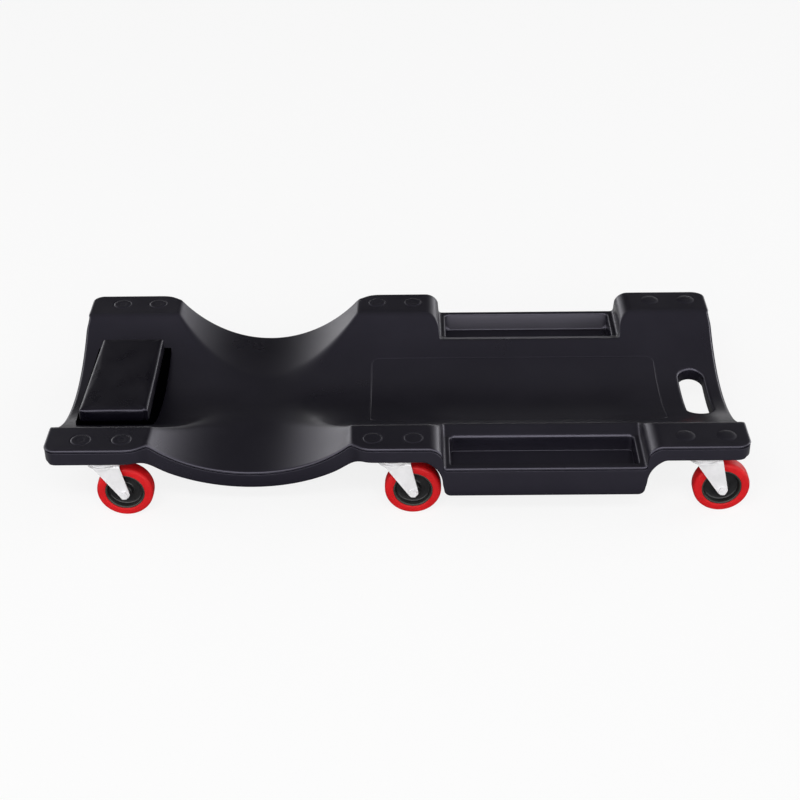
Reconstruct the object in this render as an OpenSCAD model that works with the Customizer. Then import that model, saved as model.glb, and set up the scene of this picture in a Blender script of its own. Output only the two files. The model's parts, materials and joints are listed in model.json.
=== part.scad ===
// Mechanic creeper: a low moulded deck on six swivel casters, to lie on while working under a vehicle.
// X runs from the head end to the foot end, Y across the deck, Z up.
// The origin is on the floor below the middle of the deck, and every wheel trails towards the foot end.

/* [Deck] */
// Length of the deck from the head end to the foot end
deck_l = 930; // [900:1:980]
// Width of the deck across the caster pads
deck_w = 430; // [422:1:450]
// Thickness of the double-walled deck
deck_t = 20; // [17:0.5:23]
// Width of the flat pad strip along each side
pad_w = 61; // [56:0.5:66]
// Depth of the body trough below the pads
trough_d = 54; // [44:1:56]
// Plan radius of the four outer corners of the deck
deck_corner_r = 18; // [8:1:26]
// Radius that eases the outer top edges of the deck
edge_r = 4; // [1:0.5:7]
// Radius that eases its lower edges
under_edge_r = 1.5; // [0.5:0.1:4]

/* [Arm recess] */
// Distance from the head end to the middle of the arm recess
arm_from_head = 272; // [262:1:282]
// Half length of the arm recess at pad height
arm_half = 135; // [120:1:138]
// Depth of the arm recess below the pads, at the sides of the deck
arm_d = 58; // [50:0.5:59]
// How much shallower the arm recess is in the middle of the deck
arm_rise = 5; // [1:0.5:8]
// How far each side of the deck draws in at the arm recess
waist_in = 31; // [20:1:36]
// Plan radius of the drawn-in sides
waist_r = 535; // [480:1:700]
// Plan radius of the pad corners beside the arm recess
pad_ease_r = 35; // [28:1:38]

/* [Tool trays] */
// Distance from the foot end to the middle of the trays
tray_from_foot = 268; // [262:1:274]
// Length of the tray opening
tray_l = 248; // [220:1:252]
// Width of the tray opening
tray_w = 68.5; // [56:0.5:70]
// Outer side wall of the tray
tray_side_wall = 11.5; // [8:0.5:16]
// Rim at each end of the tray opening
tray_end_rim = 10; // [7:0.5:12]
// How far the tray rim lies below the pads
tray_drop = 33; // [30:0.5:36]
// Depth of the tray pocket below its rim
tray_pocket_d = 26; // [18:1:32]
// Height of the tray box from its underside to its rim
tray_box_h = 41; // [36:1:44]
// Width of the slope between the trough and the tray opening
tray_slope_w = 20; // [12:1:26]
// Plan radius of the tray pocket corners
tray_corner_r = 6; // [3:0.5:12]
// Radius of the pad end above the tray
shoulder_r = 20; // [12:1:26]
// Radius of the hollow where the pad end meets the tray's rim
tray_foot_r = 5; // [2:0.5:7]
// Radius of the hollow under the pad end
under_r = 38; // [28:1:38]
// Reach of the tray box past the end walls above it
box_over = 1; // [0.5:0.5:3]
// How far the tray box draws in towards its underside at each end
box_draft = 2; // [1:0.5:6]
// Radius of the tray box's lower edge at each end
box_end_r = 9; // [4:0.5:12]
// Reach of the tray box under the trough, from its opening inwards
box_in = 17; // [12:1:24]
// Radius of the tray box's lower edges along its sides
box_edge_r = 2.5; // [1:0.5:8]

/* [Handle slot] */
// Length of the hand slot across the deck
slot_l = 120; // [100:1:140]
// Width of the hand slot
slot_w = 36; // [28:1:42]
// Distance from the foot end to the middle of the hand slot
slot_from_foot = 41; // [34:1:46]

/* [Moulded details] */
// Length of the plain panel outline in the trough
panel_l = 416; // [300:1:430]
// Width of the panel outline in plan
panel_w = 169; // [100:1:180]
// Distance from the foot end to the middle of the panel
panel_from_foot = 295; // [285:1:305]
// Width of the outline groove
panel_line = 1.6; // [1:0.1:3]
// Depth of the outline groove
panel_depth = 0.8; // [0.4:0.1:1.5]
// Plan radius of the panel corners
panel_corner_r = 12; // [6:1:20]
// Diameter of the ring mark above each insert nut
mark_d = 25.4; // [20:0.1:30]
// Width of the ring mark groove
mark_line = 1.5; // [0.8:0.1:3]
// Depth of the ring mark groove
mark_depth = 0.7; // [0.3:0.1:1.5]
// Number of stiffening flutes under the trough
flute_n = 5; // [3:2:7]
// Length of a flute
flute_l = 300; // [200:1:330]
// Width of a flute
flute_w = 12; // [8:1:16]
// Depth of a flute into the underside
flute_d = 11; // [6:1:13]
// Distance between neighbouring flutes
flute_pitch = 34; // [26:1:38]

/* [Headrest] */
// Distance from the head end to the middle of the headrest
rest_from_head = 77; // [70:1:84]
// Length of the cushion along the deck
cushion_l = 90.5; // [80:0.5:100]
// Width of the cushion across the deck
cushion_w = 193; // [170:1:200]
// Thickness of the cushion at its edge
cushion_t = 18; // [14:0.5:20]
// Rise of the cushion's crown above its edge
cushion_crown = 1.5; // [0.5:0.1:3]
// How far the cushion's sides draw in at mid height
cushion_draw = 1; // [0.4:0.1:2]
// Radius of the cushion's top edge
cushion_edge_r = 3; // [1.5:0.5:5]
// How far the cushion's crown lies below the pads
cushion_drop = 8; // [5:0.5:10]
// Step of the base beyond the cushion at each end of its length
base_step_l = 8; // [4:0.5:10]
// Step of the base beyond the cushion at each end of its width
base_step_w = 3.5; // [2:0.5:6]
// Thickness of the wooden board under the foam
board_t = 4; // [3:0.5:6]
// Border of the cushion around the board
board_border = 4; // [3:0.5:8]
// Distance between the headrest screws along the deck
rest_screw_l = 60; // [40:1:66]
// Distance between the headrest screws across the deck
rest_screw_w = 124; // [90:1:140]
// Diameter of a headrest screw
rest_screw_d = 4.8; // [4:0.1:6]
// Diameter of a headrest screw's head
rest_head_d = 9.5; // [8:0.1:12]
// Height of a headrest screw's head
rest_head_h = 3; // [2:0.1:4]

/* [Caster places] */
// Distance from the head end to the swivel axes of the head casters
head_from_end = 75; // [68:1:84]
// Distance from the head end to the swivel axes of the middle casters
mid_from_head = 461.5; // [456:0.5:464]
// Distance from the foot end to the swivel axes of the foot casters
foot_from_end = 56; // [50:1:60]
// Distance from the side of the deck to the swivel axes
caster_in = 29; // [27:0.5:34]

/* [Caster plate] */
// Length of the top plate along the deck
plate_l = 70; // [68:0.5:72]
// Width of the top plate
plate_w = 44; // [40:1:48]
// Thickness of the top plate
plate_t = 2.5; // [2:0.1:3]
// Plan radius of the plate corners
plate_corner_r = 7; // [3:0.5:8]
// Distance between the two bolts of a caster
bolt_pitch = 54; // [53:0.5:55]
// Diameter of a caster bolt
bolt_d = 6; // [5:0.5:6.5]
// Width across the flats of a caster bolt's head
bolt_flats = 10; // [8:0.5:10.5]
// Height of a caster bolt's head
bolt_head_h = 4; // [3:0.1:4.5]
// Diameter of an insert nut
insert_d = 9; // [8.5:0.1:11]
// Length of an insert nut
insert_l = 12; // [9:0.5:13]

/* [Swivel] */
// Radius of the ring of balls
ball_ring_r = 16.5; // [15.5:0.1:17]
// Diameter of a ball
ball_d = 4.76; // [4:0.01:5]
// Number of balls in the ring
ball_n = 18; // [12:1:19]
// Inner radius of the ball races
race_in_r = 13; // [12.5:0.1:13.2]
// Outer radius of the ball races
race_out_r = 20; // [19.8:0.1:20.2]
// Height of the upper race, and of the lower one
race_h = 3.5; // [3:0.1:4.5]
// Open gap between the upper and lower race
race_gap = 2; // [1.5:0.1:2.5]
// Diameter of the kingpin
kingpin_d = 10; // [8:0.1:12]
// Diameter of the kingpin's lower head
kingpin_head_d = 18; // [14:0.5:22]
// Height of the kingpin's lower head
kingpin_head_h = 3; // [2:0.1:3.5]

/* [Fork] */
// Thickness of the fork's crown
crown_t = 2.5; // [2:0.1:3]
// Radius of the round part of the crown
crown_r = 22; // [21:0.5:24]
// Gap from the top of the wheel to the crown
crown_gap = 6; // [5:0.5:7.5]
// Reach of the crown behind the swivel axis
crown_back = 14; // [12:0.5:18]
// Reach of the crown ahead of the swivel axis
crown_front = 23; // [20:0.5:25]
// Thickness of a fork leg
leg_t = 2; // [1.6:0.1:2.4]
// Radius of a leg's lower end
leg_tip_r = 7; // [6.5:0.1:8.5]
// Inner radius of the bend between crown and leg
bend_r = 2.5; // [1.5:0.1:3]
// Diameter of the axle bolt
axle_d = 6; // [5:0.5:7]
// Width across the flats of the axle bolt and nut
axle_flats = 10; // [9:0.5:12]
// Height of the axle bolt's head
axle_head_h = 3.6; // [3:0.1:4.5]
// Height of the axle nut
axle_nut_h = 5; // [4:0.1:5.5]
// Thread that stands out of the axle nut
axle_stub = 1; // [0.5:0.1:2]
// Outer diameter of the spacer tube that the wheel turns on
spacer_d = 10; // [9:0.1:12]

/* [Wheel] */
// Diameter of the wheel
wheel_d = 76; // [72:0.5:78]
// Width of the tyre
tyre_w = 22; // [18:0.5:23]
// Diameter of the wheel core
core_d = 52.8; // [48:0.1:56]
// Radius of the tyre's shoulders
tyre_shoulder_r = 5; // [2:0.5:6]
// Horizontal distance from the swivel axis to the wheel axle
trail = 26; // [24:0.5:26.5]
// Length of the wheel's hub
hub_l = 28; // [25.6:0.2:29]
// Outer diameter of the wheel's hub
hub_d = 19; // [16:0.5:24]
// Thickness of the core's web
web_t = 5; // [3:0.5:8]
// Radial thickness of the core's rim
rim_t = 4.4; // [3:0.1:6]
// Width of the core's rim
rim_w = 20; // [16:0.5:21]
// Height of the core's tongue inside the tyre
tongue_h = 3; // [1.5:0.1:4]
// Width of the core's tongue
tongue_w = 8; // [5:0.5:12]

/* [Hidden] */
// Overrun of every cut
over = 2;
// Clearance of a hole around a screw, bolt or insert
hole_gap = 0.3;
// Clearance between threads, shown smooth
thread_gap = 0.05;
// Radial clearance of a running fit
run_gap = 0.06;
// Gap between seated pieces of different material
seat_gap = 0.1;
// Gap at each end of the hub
hub_gap = 0.5;
// Gap between the kingpin's head and the crown
kingpin_gap = 0.3;
// Depth of a headrest screw's seat into the underside
screw_sink = 3;
// Room around a headrest screw's head in its seat
spot_rim = 2.5;
// Segments of the large curves
large_fn = 360;
// Segments of the cushion's very flat crown
crown_fn = 1440;
// Segments of a bearing ball
ball_fn = 24;
// Share of the cushion's board that a headrest screw goes into
screw_reach_share = 0.8;

// Heights above the floor, from the wheels up to the pads
crown_z = wheel_d + crown_gap;
crown_top = crown_z + crown_t;
plate_z = crown_top + 2 * race_h + race_gap;
under_z = plate_z + plate_t;
pad_top_h = under_z + deck_t;

// Places along the deck
arm_x = -deck_l / 2 + arm_from_head;
tray_x = deck_l / 2 - tray_from_foot;
slot_x = deck_l / 2 - slot_from_foot;
panel_x = deck_l / 2 - panel_from_foot;
rest_x = -deck_l / 2 + rest_from_head;
head_x = -deck_l / 2 + head_from_end;
mid_x = -deck_l / 2 + mid_from_head;
foot_x = deck_l / 2 - foot_from_end;
caster_y = deck_w / 2 - caster_in;

// Radius of a round hollow with a given half width and depth
function hollow_r(half, depth) = (half * half + depth * depth) / (2 * depth);
// Height of a round hollow's surface at a distance from its middle
function hollow_z(r, depth, at) = pad_top_h - depth + r - sqrt(r * r - at * at);

trough_half = deck_w / 2 - pad_w;
trough_r = hollow_r(trough_half, trough_d);
trough_z = pad_top_h - trough_d + trough_r;
arm_r = hollow_r(arm_half, arm_d);
arm_z = pad_top_h - arm_d + arm_rise + arm_r;
arm_tilt = atan(arm_rise / (deck_w / 2 - waist_in));
waist_y = deck_w / 2 - waist_in + waist_r;
ease_drop = deck_w / 2 - waist_y + sqrt(waist_r * waist_r - arm_half * arm_half);
ease_run = sqrt(pad_ease_r * pad_ease_r - pow(pad_ease_r - ease_drop, 2));

rim_z = pad_top_h - tray_drop;
tray_out_y = deck_w / 2 - tray_side_wall;
tray_in_y = tray_out_y - tray_w;
crest_y = tray_in_y - tray_slope_w;
crest_z = hollow_z(trough_r, trough_d, crest_y);
tray_half = tray_l / 2 + tray_end_rim;
box_z = rim_z - tray_box_h;
box_half = tray_half + box_over;
fillet_run = min(under_r - over, tray_x - box_half - mid_x - plate_l / 2 - hole_gap);
fillet_z = under_z - sqrt(under_r * under_r - pow(under_r - fillet_run, 2));
box_top = under_z + deck_t / 2;

cushion_z = pad_top_h - cushion_drop - cushion_crown - cushion_t;
base_l = cushion_l + 2 * base_step_l;
base_w = cushion_w + 2 * base_step_w;
rest_screw_z = hollow_z(trough_r + deck_t, trough_d + deck_t, rest_screw_w / 2) + screw_sink;

ball_z = (plate_z + crown_top) / 2;
leg_in = hub_l / 2 + hub_gap;
leg_out = leg_in + leg_t;
axle_z = wheel_d / 2;
hex_share = 1 / sqrt(3);

// Casters: name, place along the deck, side of the deck
CASTERS = [
    ["head_right", head_x, -1], ["mid_right", mid_x, -1], ["foot_right", foot_x, -1],
    ["head_left", head_x, 1], ["mid_left", mid_x, 1], ["foot_left", foot_x, 1]
];
CASTER_PARTS = ["plate", "kingpin", "balls", "fork", "axle", "spacer", "core", "tyre"];

// Fine enough that every circle stays a true circle
$fn = 96;

// Repeats its children on the other side of the deck
module both_sides() {
    children();
    mirror([0, 1, 0]) children();
}

// Repeats its children mirrored along the deck about a place
module both_ends(x = 0) {
    translate([x, 0, 0]) children();
    translate([x, 0, 0]) mirror([1, 0, 0]) children();
}

// Carries an outline drawn in Y and Z along X
module along_x(len) {
    rotate([90, 0, 90]) linear_extrude(len) children();
}

// Carries an outline drawn in X and Z along Y, between two places
module along_y(from, to) {
    translate([0, to, 0]) rotate([90, 0, 0]) linear_extrude(to - from) children();
}

module round_rect(l, w, r) {
    square([l, w - 2 * r], center = true);
    square([l - 2 * r, w], center = true);
    for (sx = [-1, 1], sy = [-1, 1])
        translate([sx * (l / 2 - r), sy * (w / 2 - r)]) circle(r);
}

module stadium(l, w) {
    square([l - w, w], center = true);
    for (s = [-1, 1])
        translate([s * (l - w) / 2, 0]) circle(d = w);
}

// Corner of a square that lies outside a circle, with the circle's middle at the origin
module outer_corner(r, run) {
    difference() {
        translate([r - run, 0]) square([run + over, r + over]);
        circle(r);
    }
}

// Deck

module deck_plan() {
    difference() {
        square([deck_l, deck_w], center = true);
        both_sides() {
            intersection() {
                translate([arm_x, waist_y]) circle(waist_r, $fn = large_fn);
                translate([arm_x - arm_half, 0]) square([2 * arm_half, deck_w]);
            }
            both_ends(arm_x)
                translate([arm_half + ease_run, deck_w / 2 - pad_ease_r])
                    mirror([1, 0, 0]) intersection() {
                        outer_corner(pad_ease_r, pad_ease_r);
                        square([ease_run, pad_ease_r + over]);
                    }
            both_ends()
                translate([deck_l / 2 - deck_corner_r, deck_w / 2 - deck_corner_r])
                    outer_corner(deck_corner_r, deck_corner_r);
        }
    }
}

// Outline of the deck seen along one axis, with its two top edges eased
module eased_outline(w, r = edge_r) {
    difference() {
        translate([-w / 2, 0]) square([w, pad_top_h]);
        both_ends()
            translate([w / 2 - r, pad_top_h - r]) outer_corner(r, r);
    }
}

module trough_hollow(grow = 0) {
    translate([0, 0, trough_z]) rotate([0, 90, 0])
        cylinder(r = trough_r + grow, h = deck_l + 2 * over, center = true, $fn = large_fn);
}

// The recess falls a little from the middle of the deck to each side
module arm_hollow(grow = 0) {
    for (s = [-1, 1])
        translate([arm_x, 0, arm_z]) rotate([90 - s * arm_tilt, 0, 0])
            cylinder(r = arm_r + grow, h = deck_w + 4 * deck_t, center = true, $fn = large_fn);
}

// Rounds the edge where a turned surface about the trough's axis meets the ends of the deck
module trough_end_ease(r, ease, inner) {
    translate([0, 0, trough_z]) rotate([0, 90, 0]) rotate_extrude($fn = large_fn) both_sides()
        translate([r + (inner ? ease : -ease), deck_l / 2 - ease])
            mirror([inner ? 1 : 0, 0]) outer_corner(ease, ease);
}

// Lower body of one tray, with the hollow that joins it to the pads' underside, reaching up into the pads
module tray_box() {
    length = 2 * (box_half + fillet_run + over);
    intersection() {
        translate([tray_x, 0, 0]) tray_box_length();
        translate([tray_x - length / 2, 0, 0]) along_x(length) tray_box_end();
    }
}

module tray_box_end() {
    in_y = tray_in_y - box_in;
    translate([in_y, box_z + box_edge_r]) square([deck_w / 2 - in_y, box_top - box_z - box_edge_r]);
    translate([in_y + box_edge_r, box_z]) square([deck_w / 2 - in_y - 2 * box_edge_r, 2 * box_edge_r]);
    for (y = [in_y + box_edge_r, deck_w / 2 - box_edge_r])
        translate([y, box_z + box_edge_r]) circle(box_edge_r);
}

module tray_box_length() {
    low = box_half - box_draft;
    round_z = box_z + box_end_r;
    along_y(tray_in_y - box_in, deck_w / 2) {
        polygon([
            [-low, round_z], [low, round_z], [box_half, fillet_z],
            [box_half, box_top], [-box_half, box_top], [-box_half, fillet_z]
        ]);
        translate([-low + box_end_r, box_z]) square([2 * (low - box_end_r), 2 * box_end_r]);
        both_ends() {
            translate([low - box_end_r, round_z]) circle(box_end_r);
            difference() {
                translate([box_half, fillet_z]) square([fillet_run + over, box_top - fillet_z]);
                translate([box_half + under_r, fillet_z]) circle(under_r);
            }
        }
    }
}

// Space above one tray: the slope, the rim level and the round pad ends
module tray_space() {
    intersection() {
        translate([tray_x, 0, 0]) along_y(crest_y, deck_w / 2 + over) {
            translate([-tray_half, rim_z + tray_foot_r])
                square([2 * tray_half, pad_top_h - rim_z - tray_foot_r + over]);
            translate([-tray_half + tray_foot_r, rim_z])
                square([2 * (tray_half - tray_foot_r), 2 * tray_foot_r]);
            both_ends() translate([tray_half - tray_foot_r, rim_z + tray_foot_r]) circle(tray_foot_r);
            both_ends() difference() {
                translate([tray_half, pad_top_h - shoulder_r]) square([shoulder_r, shoulder_r + over]);
                translate([tray_half + shoulder_r, pad_top_h - shoulder_r]) circle(shoulder_r);
            }
        }
        translate([tray_x - tray_half - shoulder_r, 0, 0]) along_x(2 * (tray_half + shoulder_r))
            polygon([
                [crest_y, crest_z], [tray_in_y, rim_z], [tray_in_y + over, rim_z - over],
                [deck_w / 2 + 2 * over, rim_z - over], [deck_w / 2 + 2 * over, pad_top_h + over],
                [crest_y, pad_top_h + over]
            ]);
    }
}

module tray_pocket() {
    translate([tray_x, (tray_in_y + tray_out_y) / 2, rim_z - tray_pocket_d])
        linear_extrude(tray_pocket_d + over) round_rect(tray_l, tray_w, tray_corner_r);
}

// Outline of the plain panel, sunk into the trough's surface
module panel_groove() {
    intersection() {
        trough_hollow(panel_depth);
        translate([panel_x, 0, 0]) linear_extrude(pad_top_h) difference() {
            round_rect(panel_l, panel_w, panel_corner_r);
            round_rect(panel_l - 2 * panel_line, panel_w - 2 * panel_line, panel_corner_r - panel_line);
        }
    }
}

module flutes() {
    difference() {
        for (i = [0 : flute_n - 1])
            translate([panel_x, (i - (flute_n - 1) / 2) * flute_pitch, 0])
                linear_extrude(pad_top_h) stadium(flute_l, flute_w);
        trough_hollow(deck_t - flute_d);
    }
}

module ring_mark() {
    translate([0, 0, pad_top_h - mark_depth]) linear_extrude(mark_depth + over) difference() {
        circle(d = mark_d);
        circle(d = mark_d - 2 * mark_line);
    }
}

// Repeats its children at both bolts of every caster
module at_bolts() {
    for (c = CASTERS, s = [-1, 1])
        translate([c[1] + s * bolt_pitch / 2, c[2] * caster_y, 0]) children();
}

module at_rest_screws() {
    for (sx = [-1, 1], sy = [-1, 1])
        translate([rest_x + sx * rest_screw_l / 2, sy * rest_screw_w / 2, 0]) children();
}

// Flat slab of the pads, with its lower edges eased
module pad_slab() {
    translate([0, 0, under_z + pad_top_h]) intersection() {
        translate([-deck_l / 2, 0, 0]) along_x(deck_l) mirror([0, 1]) eased_outline(deck_w, under_edge_r);
        along_y(-deck_w / 2, deck_w / 2) mirror([0, 1]) eased_outline(deck_l, under_edge_r);
    }
}

// Everything between the upper and the lower face of the deck, before the hollows are cut
module deck_block() {
    intersection() {
        linear_extrude(pad_top_h) deck_plan();
        translate([-deck_l / 2, 0, 0]) along_x(deck_l) eased_outline(deck_w);
        along_y(-deck_w / 2, deck_w / 2) eased_outline(deck_l);
        union() {
            pad_slab();
            difference() {
                trough_hollow(deck_t);
                trough_end_ease(trough_r + deck_t, under_edge_r, false);
            }
            arm_hollow(deck_t);
            both_sides() tray_box();
        }
    }
}

module deck() {
    color([0.12, 0.12, 0.15]) difference() {
        deck_block();
        trough_hollow();
        trough_end_ease(trough_r, edge_r, true);
        arm_hollow();
        both_sides() {
            tray_space();
            tray_pocket();
        }
        translate([slot_x, 0, 0]) linear_extrude(pad_top_h) rotate(90) stadium(slot_l, slot_w);
        panel_groove();
        flutes();
        at_bolts() {
            ring_mark();
            translate([0, 0, under_z - over])
                cylinder(d = insert_d + 2 * thread_gap, h = insert_l + hole_gap + over);
        }
        at_rest_screws() {
            cylinder(d = rest_screw_d + 2 * hole_gap, h = pad_top_h);
            cylinder(d = rest_head_d + 2 * spot_rim, h = rest_screw_z);
        }
    }
}

// Headrest

// Base moulded to the trough below and flat on top
module headrest_base() {
    color([0.05, 0.05, 0.06]) difference() {
        intersection() {
            translate([rest_x - base_l / 2, -base_w / 2, 0]) cube([base_l, base_w, cushion_z]);
            trough_hollow(-seat_gap);
        }
        at_rest_screws() cylinder(d = rest_screw_d + 2 * hole_gap, h = pad_top_h);
    }
}

module headrest_board() {
    color([0.62, 0.47, 0.30]) difference() {
        translate([rest_x, 0, cushion_z])
            linear_extrude(board_t) square([cushion_l - 2 * board_border, cushion_w - 2 * board_border], true);
        at_rest_screws()
            cylinder(d = rest_screw_d + 2 * thread_gap, h = cushion_z + board_t * screw_reach_share + hole_gap);
    }
}

// Side view of the cushion: flat below, crowned above, with sides drawn in
module cushion_outline(w) {
    draw_r = hollow_r(cushion_t / 2, cushion_draw);
    crown_r = hollow_r(w / 2, cushion_crown);
    difference() {
        intersection() {
            translate([-w / 2, 0]) square([w, cushion_t + cushion_crown]);
            translate([0, cushion_t + cushion_crown - crown_r]) circle(crown_r, $fn = crown_fn);
        }
        both_ends() {
            translate([w / 2 - cushion_draw + draw_r, cushion_t / 2]) circle(draw_r, $fn = large_fn);
            translate([w / 2 - cushion_edge_r, cushion_t - cushion_edge_r])
                outer_corner(cushion_edge_r, cushion_edge_r);
        }
    }
}

module headrest_cushion() {
    color([0.06, 0.06, 0.08]) difference() {
        translate([rest_x, 0, cushion_z]) intersection() {
            translate([-cushion_l / 2, 0, 0]) along_x(cushion_l) cushion_outline(cushion_w);
            along_y(-cushion_w / 2, cushion_w / 2) cushion_outline(cushion_l);
        }
        translate([rest_x, 0, cushion_z - over]) linear_extrude(board_t + seat_gap + over)
            square([cushion_l - 2 * board_border + 2 * seat_gap, cushion_w - 2 * board_border + 2 * seat_gap], true);
    }
}

module headrest_screws() {
    color([0.75, 0.75, 0.78]) at_rest_screws() {
        translate([0, 0, rest_screw_z - rest_head_h]) cylinder(d = rest_head_d, h = rest_head_h);
        translate([0, 0, rest_screw_z - rest_head_h])
            cylinder(d = rest_screw_d, h = cushion_z + board_t * screw_reach_share - rest_screw_z + rest_head_h);
    }
}

// Caster fasteners

module hexagon(flats, h) {
    cylinder(r = flats * hex_share, h = h, $fn = 6);
}

module caster_bolts() {
    color([0.72, 0.73, 0.76]) at_bolts() {
        translate([0, 0, plate_z - bolt_head_h]) hexagon(bolt_flats, bolt_head_h);
        translate([0, 0, plate_z - bolt_head_h])
            cylinder(d = bolt_d, h = bolt_head_h + plate_t + insert_l - hole_gap);
    }
}

module insert_nuts() {
    color([0.78, 0.62, 0.30]) at_bolts() translate([0, 0, under_z]) difference() {
        cylinder(d = insert_d, h = insert_l);
        translate([0, 0, -over]) cylinder(d = bolt_d + 2 * thread_gap, h = insert_l + 2 * over);
    }
}

// Caster, drawn with its swivel axis on Z and the wheel trailing towards +X

// Moves a caster to its pad, with the axle bolt's head on the outside
module at_caster(c) {
    translate([c[1], c[2] * caster_y, 0]) mirror([0, c[2] > 0 ? 1 : 0, 0]) children();
}

module race_ring() {
    difference() {
        cylinder(r = race_out_r, h = race_h);
        translate([0, 0, -over]) cylinder(r = race_in_r, h = race_h + 2 * over);
    }
}

module ball_track() {
    rotate_extrude() translate([ball_ring_r, ball_z]) circle(d = ball_d + 2 * run_gap);
}

module plate() {
    color([0.80, 0.81, 0.84]) difference() {
        union() {
            translate([0, 0, plate_z]) linear_extrude(plate_t) round_rect(plate_l, plate_w, plate_corner_r);
            translate([0, 0, plate_z - race_h]) race_ring();
        }
        ball_track();
        translate([0, 0, plate_z - over]) cylinder(d = kingpin_d, h = plate_t + 2 * over);
        for (s = [-1, 1])
            translate([s * bolt_pitch / 2, 0, plate_z - over])
                cylinder(d = bolt_d + 2 * hole_gap, h = plate_t + 2 * over);
    }
}

module kingpin() {
    head_z = crown_z - kingpin_gap - kingpin_head_h;
    color([0.70, 0.71, 0.74]) {
        translate([0, 0, head_z]) cylinder(d = kingpin_head_d, h = kingpin_head_h);
        translate([0, 0, head_z]) cylinder(d = kingpin_d, h = under_z - head_z);
    }
}

module balls() {
    color([0.60, 0.61, 0.64])
        for (i = [0 : ball_n - 1])
            rotate(i * 360 / ball_n) translate([ball_ring_r, 0, ball_z]) sphere(d = ball_d, $fn = ball_fn);
}

// Point where the line from p touches the circle about c; turn is 1 or -1
function touch(p, c, r, turn) =
    let (d = norm(c - p), a = atan2(c[1] - p[1], c[0] - p[0]), b = asin(r / d), t = d * cos(b))
    p + t * [cos(a + turn * b), sin(a + turn * b)];

// Side view of the fork: wide at the crown, narrow round the axle
module fork_side() {
    back = [-crown_back, crown_top];
    front = [crown_front, crown_top];
    tip = [trail, axle_z];
    polygon([back, touch(back, tip, leg_tip_r, -1), tip, touch(front, tip, leg_tip_r, 1), front]);
    translate(tip) circle(leg_tip_r);
}

// End view of the fork: an upside-down U
module fork_end() {
    outer_r = bend_r + leg_t;
    difference() {
        translate([-leg_out, 0]) square([2 * leg_out, crown_top]);
        both_ends() translate([leg_out - outer_r, crown_top - outer_r]) outer_corner(outer_r, outer_r);
        translate([-leg_in, -over]) square([2 * leg_in, crown_z - bend_r + over]);
        translate([-leg_in + bend_r, -over]) square([2 * (leg_in - bend_r), crown_z + over]);
        both_ends() translate([leg_in - bend_r, crown_z - bend_r]) circle(bend_r);
    }
}

module fork() {
    color([0.82, 0.83, 0.86]) difference() {
        union() {
            intersection() {
                along_y(-leg_out, leg_out) fork_side();
                translate([-crown_back, 0, 0]) along_x(crown_back + trail + leg_tip_r) fork_end();
            }
            translate([0, 0, crown_z]) cylinder(r = crown_r, h = crown_t);
            translate([0, 0, crown_top]) race_ring();
        }
        ball_track();
        translate([0, 0, crown_z - over]) cylinder(r = kingpin_d / 2 + run_gap, h = plate_z - crown_z);
        translate([trail, leg_out + over, axle_z])
            rotate([90, 0, 0]) cylinder(d = axle_d + 2 * thread_gap, h = 2 * (leg_out + over));
    }
}

// Moves its children to the axle, with their Z axis along it from the head to the nut
module on_axle(y) {
    translate([trail, y, axle_z]) rotate([-90, 0, 0]) children();
}

// Axle bolt, and its nut as a second solid
module axle() {
    color([0.66, 0.67, 0.70]) {
        on_axle(-leg_out - axle_head_h) {
            hexagon(axle_flats, axle_head_h);
            cylinder(d = axle_d, h = axle_head_h + 2 * leg_out + axle_nut_h + axle_stub);
        }
        on_axle(leg_out) difference() {
            hexagon(axle_flats, axle_nut_h);
            translate([0, 0, -over]) cylinder(d = axle_d + 2 * thread_gap, h = axle_nut_h + 2 * over);
        }
    }
}

module spacer() {
    color([0.74, 0.75, 0.78]) on_axle(-leg_in) difference() {
        cylinder(d = spacer_d, h = 2 * leg_in);
        translate([0, 0, -over]) cylinder(d = axle_d + 2 * thread_gap, h = 2 * leg_in + 2 * over);
    }
}

// Band of the wheel's section between two radii
module band(r_in, r_out, w) {
    translate([r_in, -w / 2]) square([r_out - r_in, w]);
}

module core() {
    color([0.07, 0.07, 0.08]) on_axle(0) rotate_extrude() {
        band(spacer_d / 2 + run_gap, hub_d / 2, hub_l);
        band(spacer_d / 2 + run_gap, core_d / 2, web_t);
        band(core_d / 2 - rim_t, core_d / 2, rim_w);
        band(core_d / 2 - rim_t, core_d / 2 + tongue_h, tongue_w);
    }
}

module tyre() {
    color([0.84, 0.11, 0.13]) on_axle(0) rotate_extrude() difference() {
        band(core_d / 2, wheel_d / 2, tyre_w);
        band(core_d / 2 - over, core_d / 2 + tongue_h, tongue_w);
        for (s = [-1, 1]) {
            shoulder = [wheel_d / 2 - tyre_shoulder_r, s * (tyre_w / 2 - tyre_shoulder_r)];
            difference() {
                translate(shoulder + [0, s > 0 ? 0 : -tyre_shoulder_r - over])
                    square([tyre_shoulder_r + over, tyre_shoulder_r + over]);
                translate(shoulder) circle(tyre_shoulder_r);
            }
        }
    }
}

deck();
headrest_base();
headrest_board();
headrest_cushion();
headrest_screws();
caster_bolts();
insert_nuts();
for (c = CASTERS) {
    at_caster(c) plate();
    at_caster(c) kingpin();
    at_caster(c) balls();
    at_caster(c) fork();
    at_caster(c) axle();
    at_caster(c) spacer();
    at_caster(c) core();
    at_caster(c) tyre();
}
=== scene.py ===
"""Scene of a mechanic creeper: a moulded deck, a padded headrest and six swivel casters.

Sizes in the classes are millimetres, and meshes are written in metres.
X runs towards the foot end, Y across the deck and Z up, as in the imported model.
"""

import json
import logging
import math
from collections.abc import Callable
from dataclasses import dataclass
from enum import Enum
from itertools import product

import bmesh
import bpy
import numpy as np
from mathutils import Matrix, Vector
from mathutils.geometry import delaunay_2d_cdt

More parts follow.
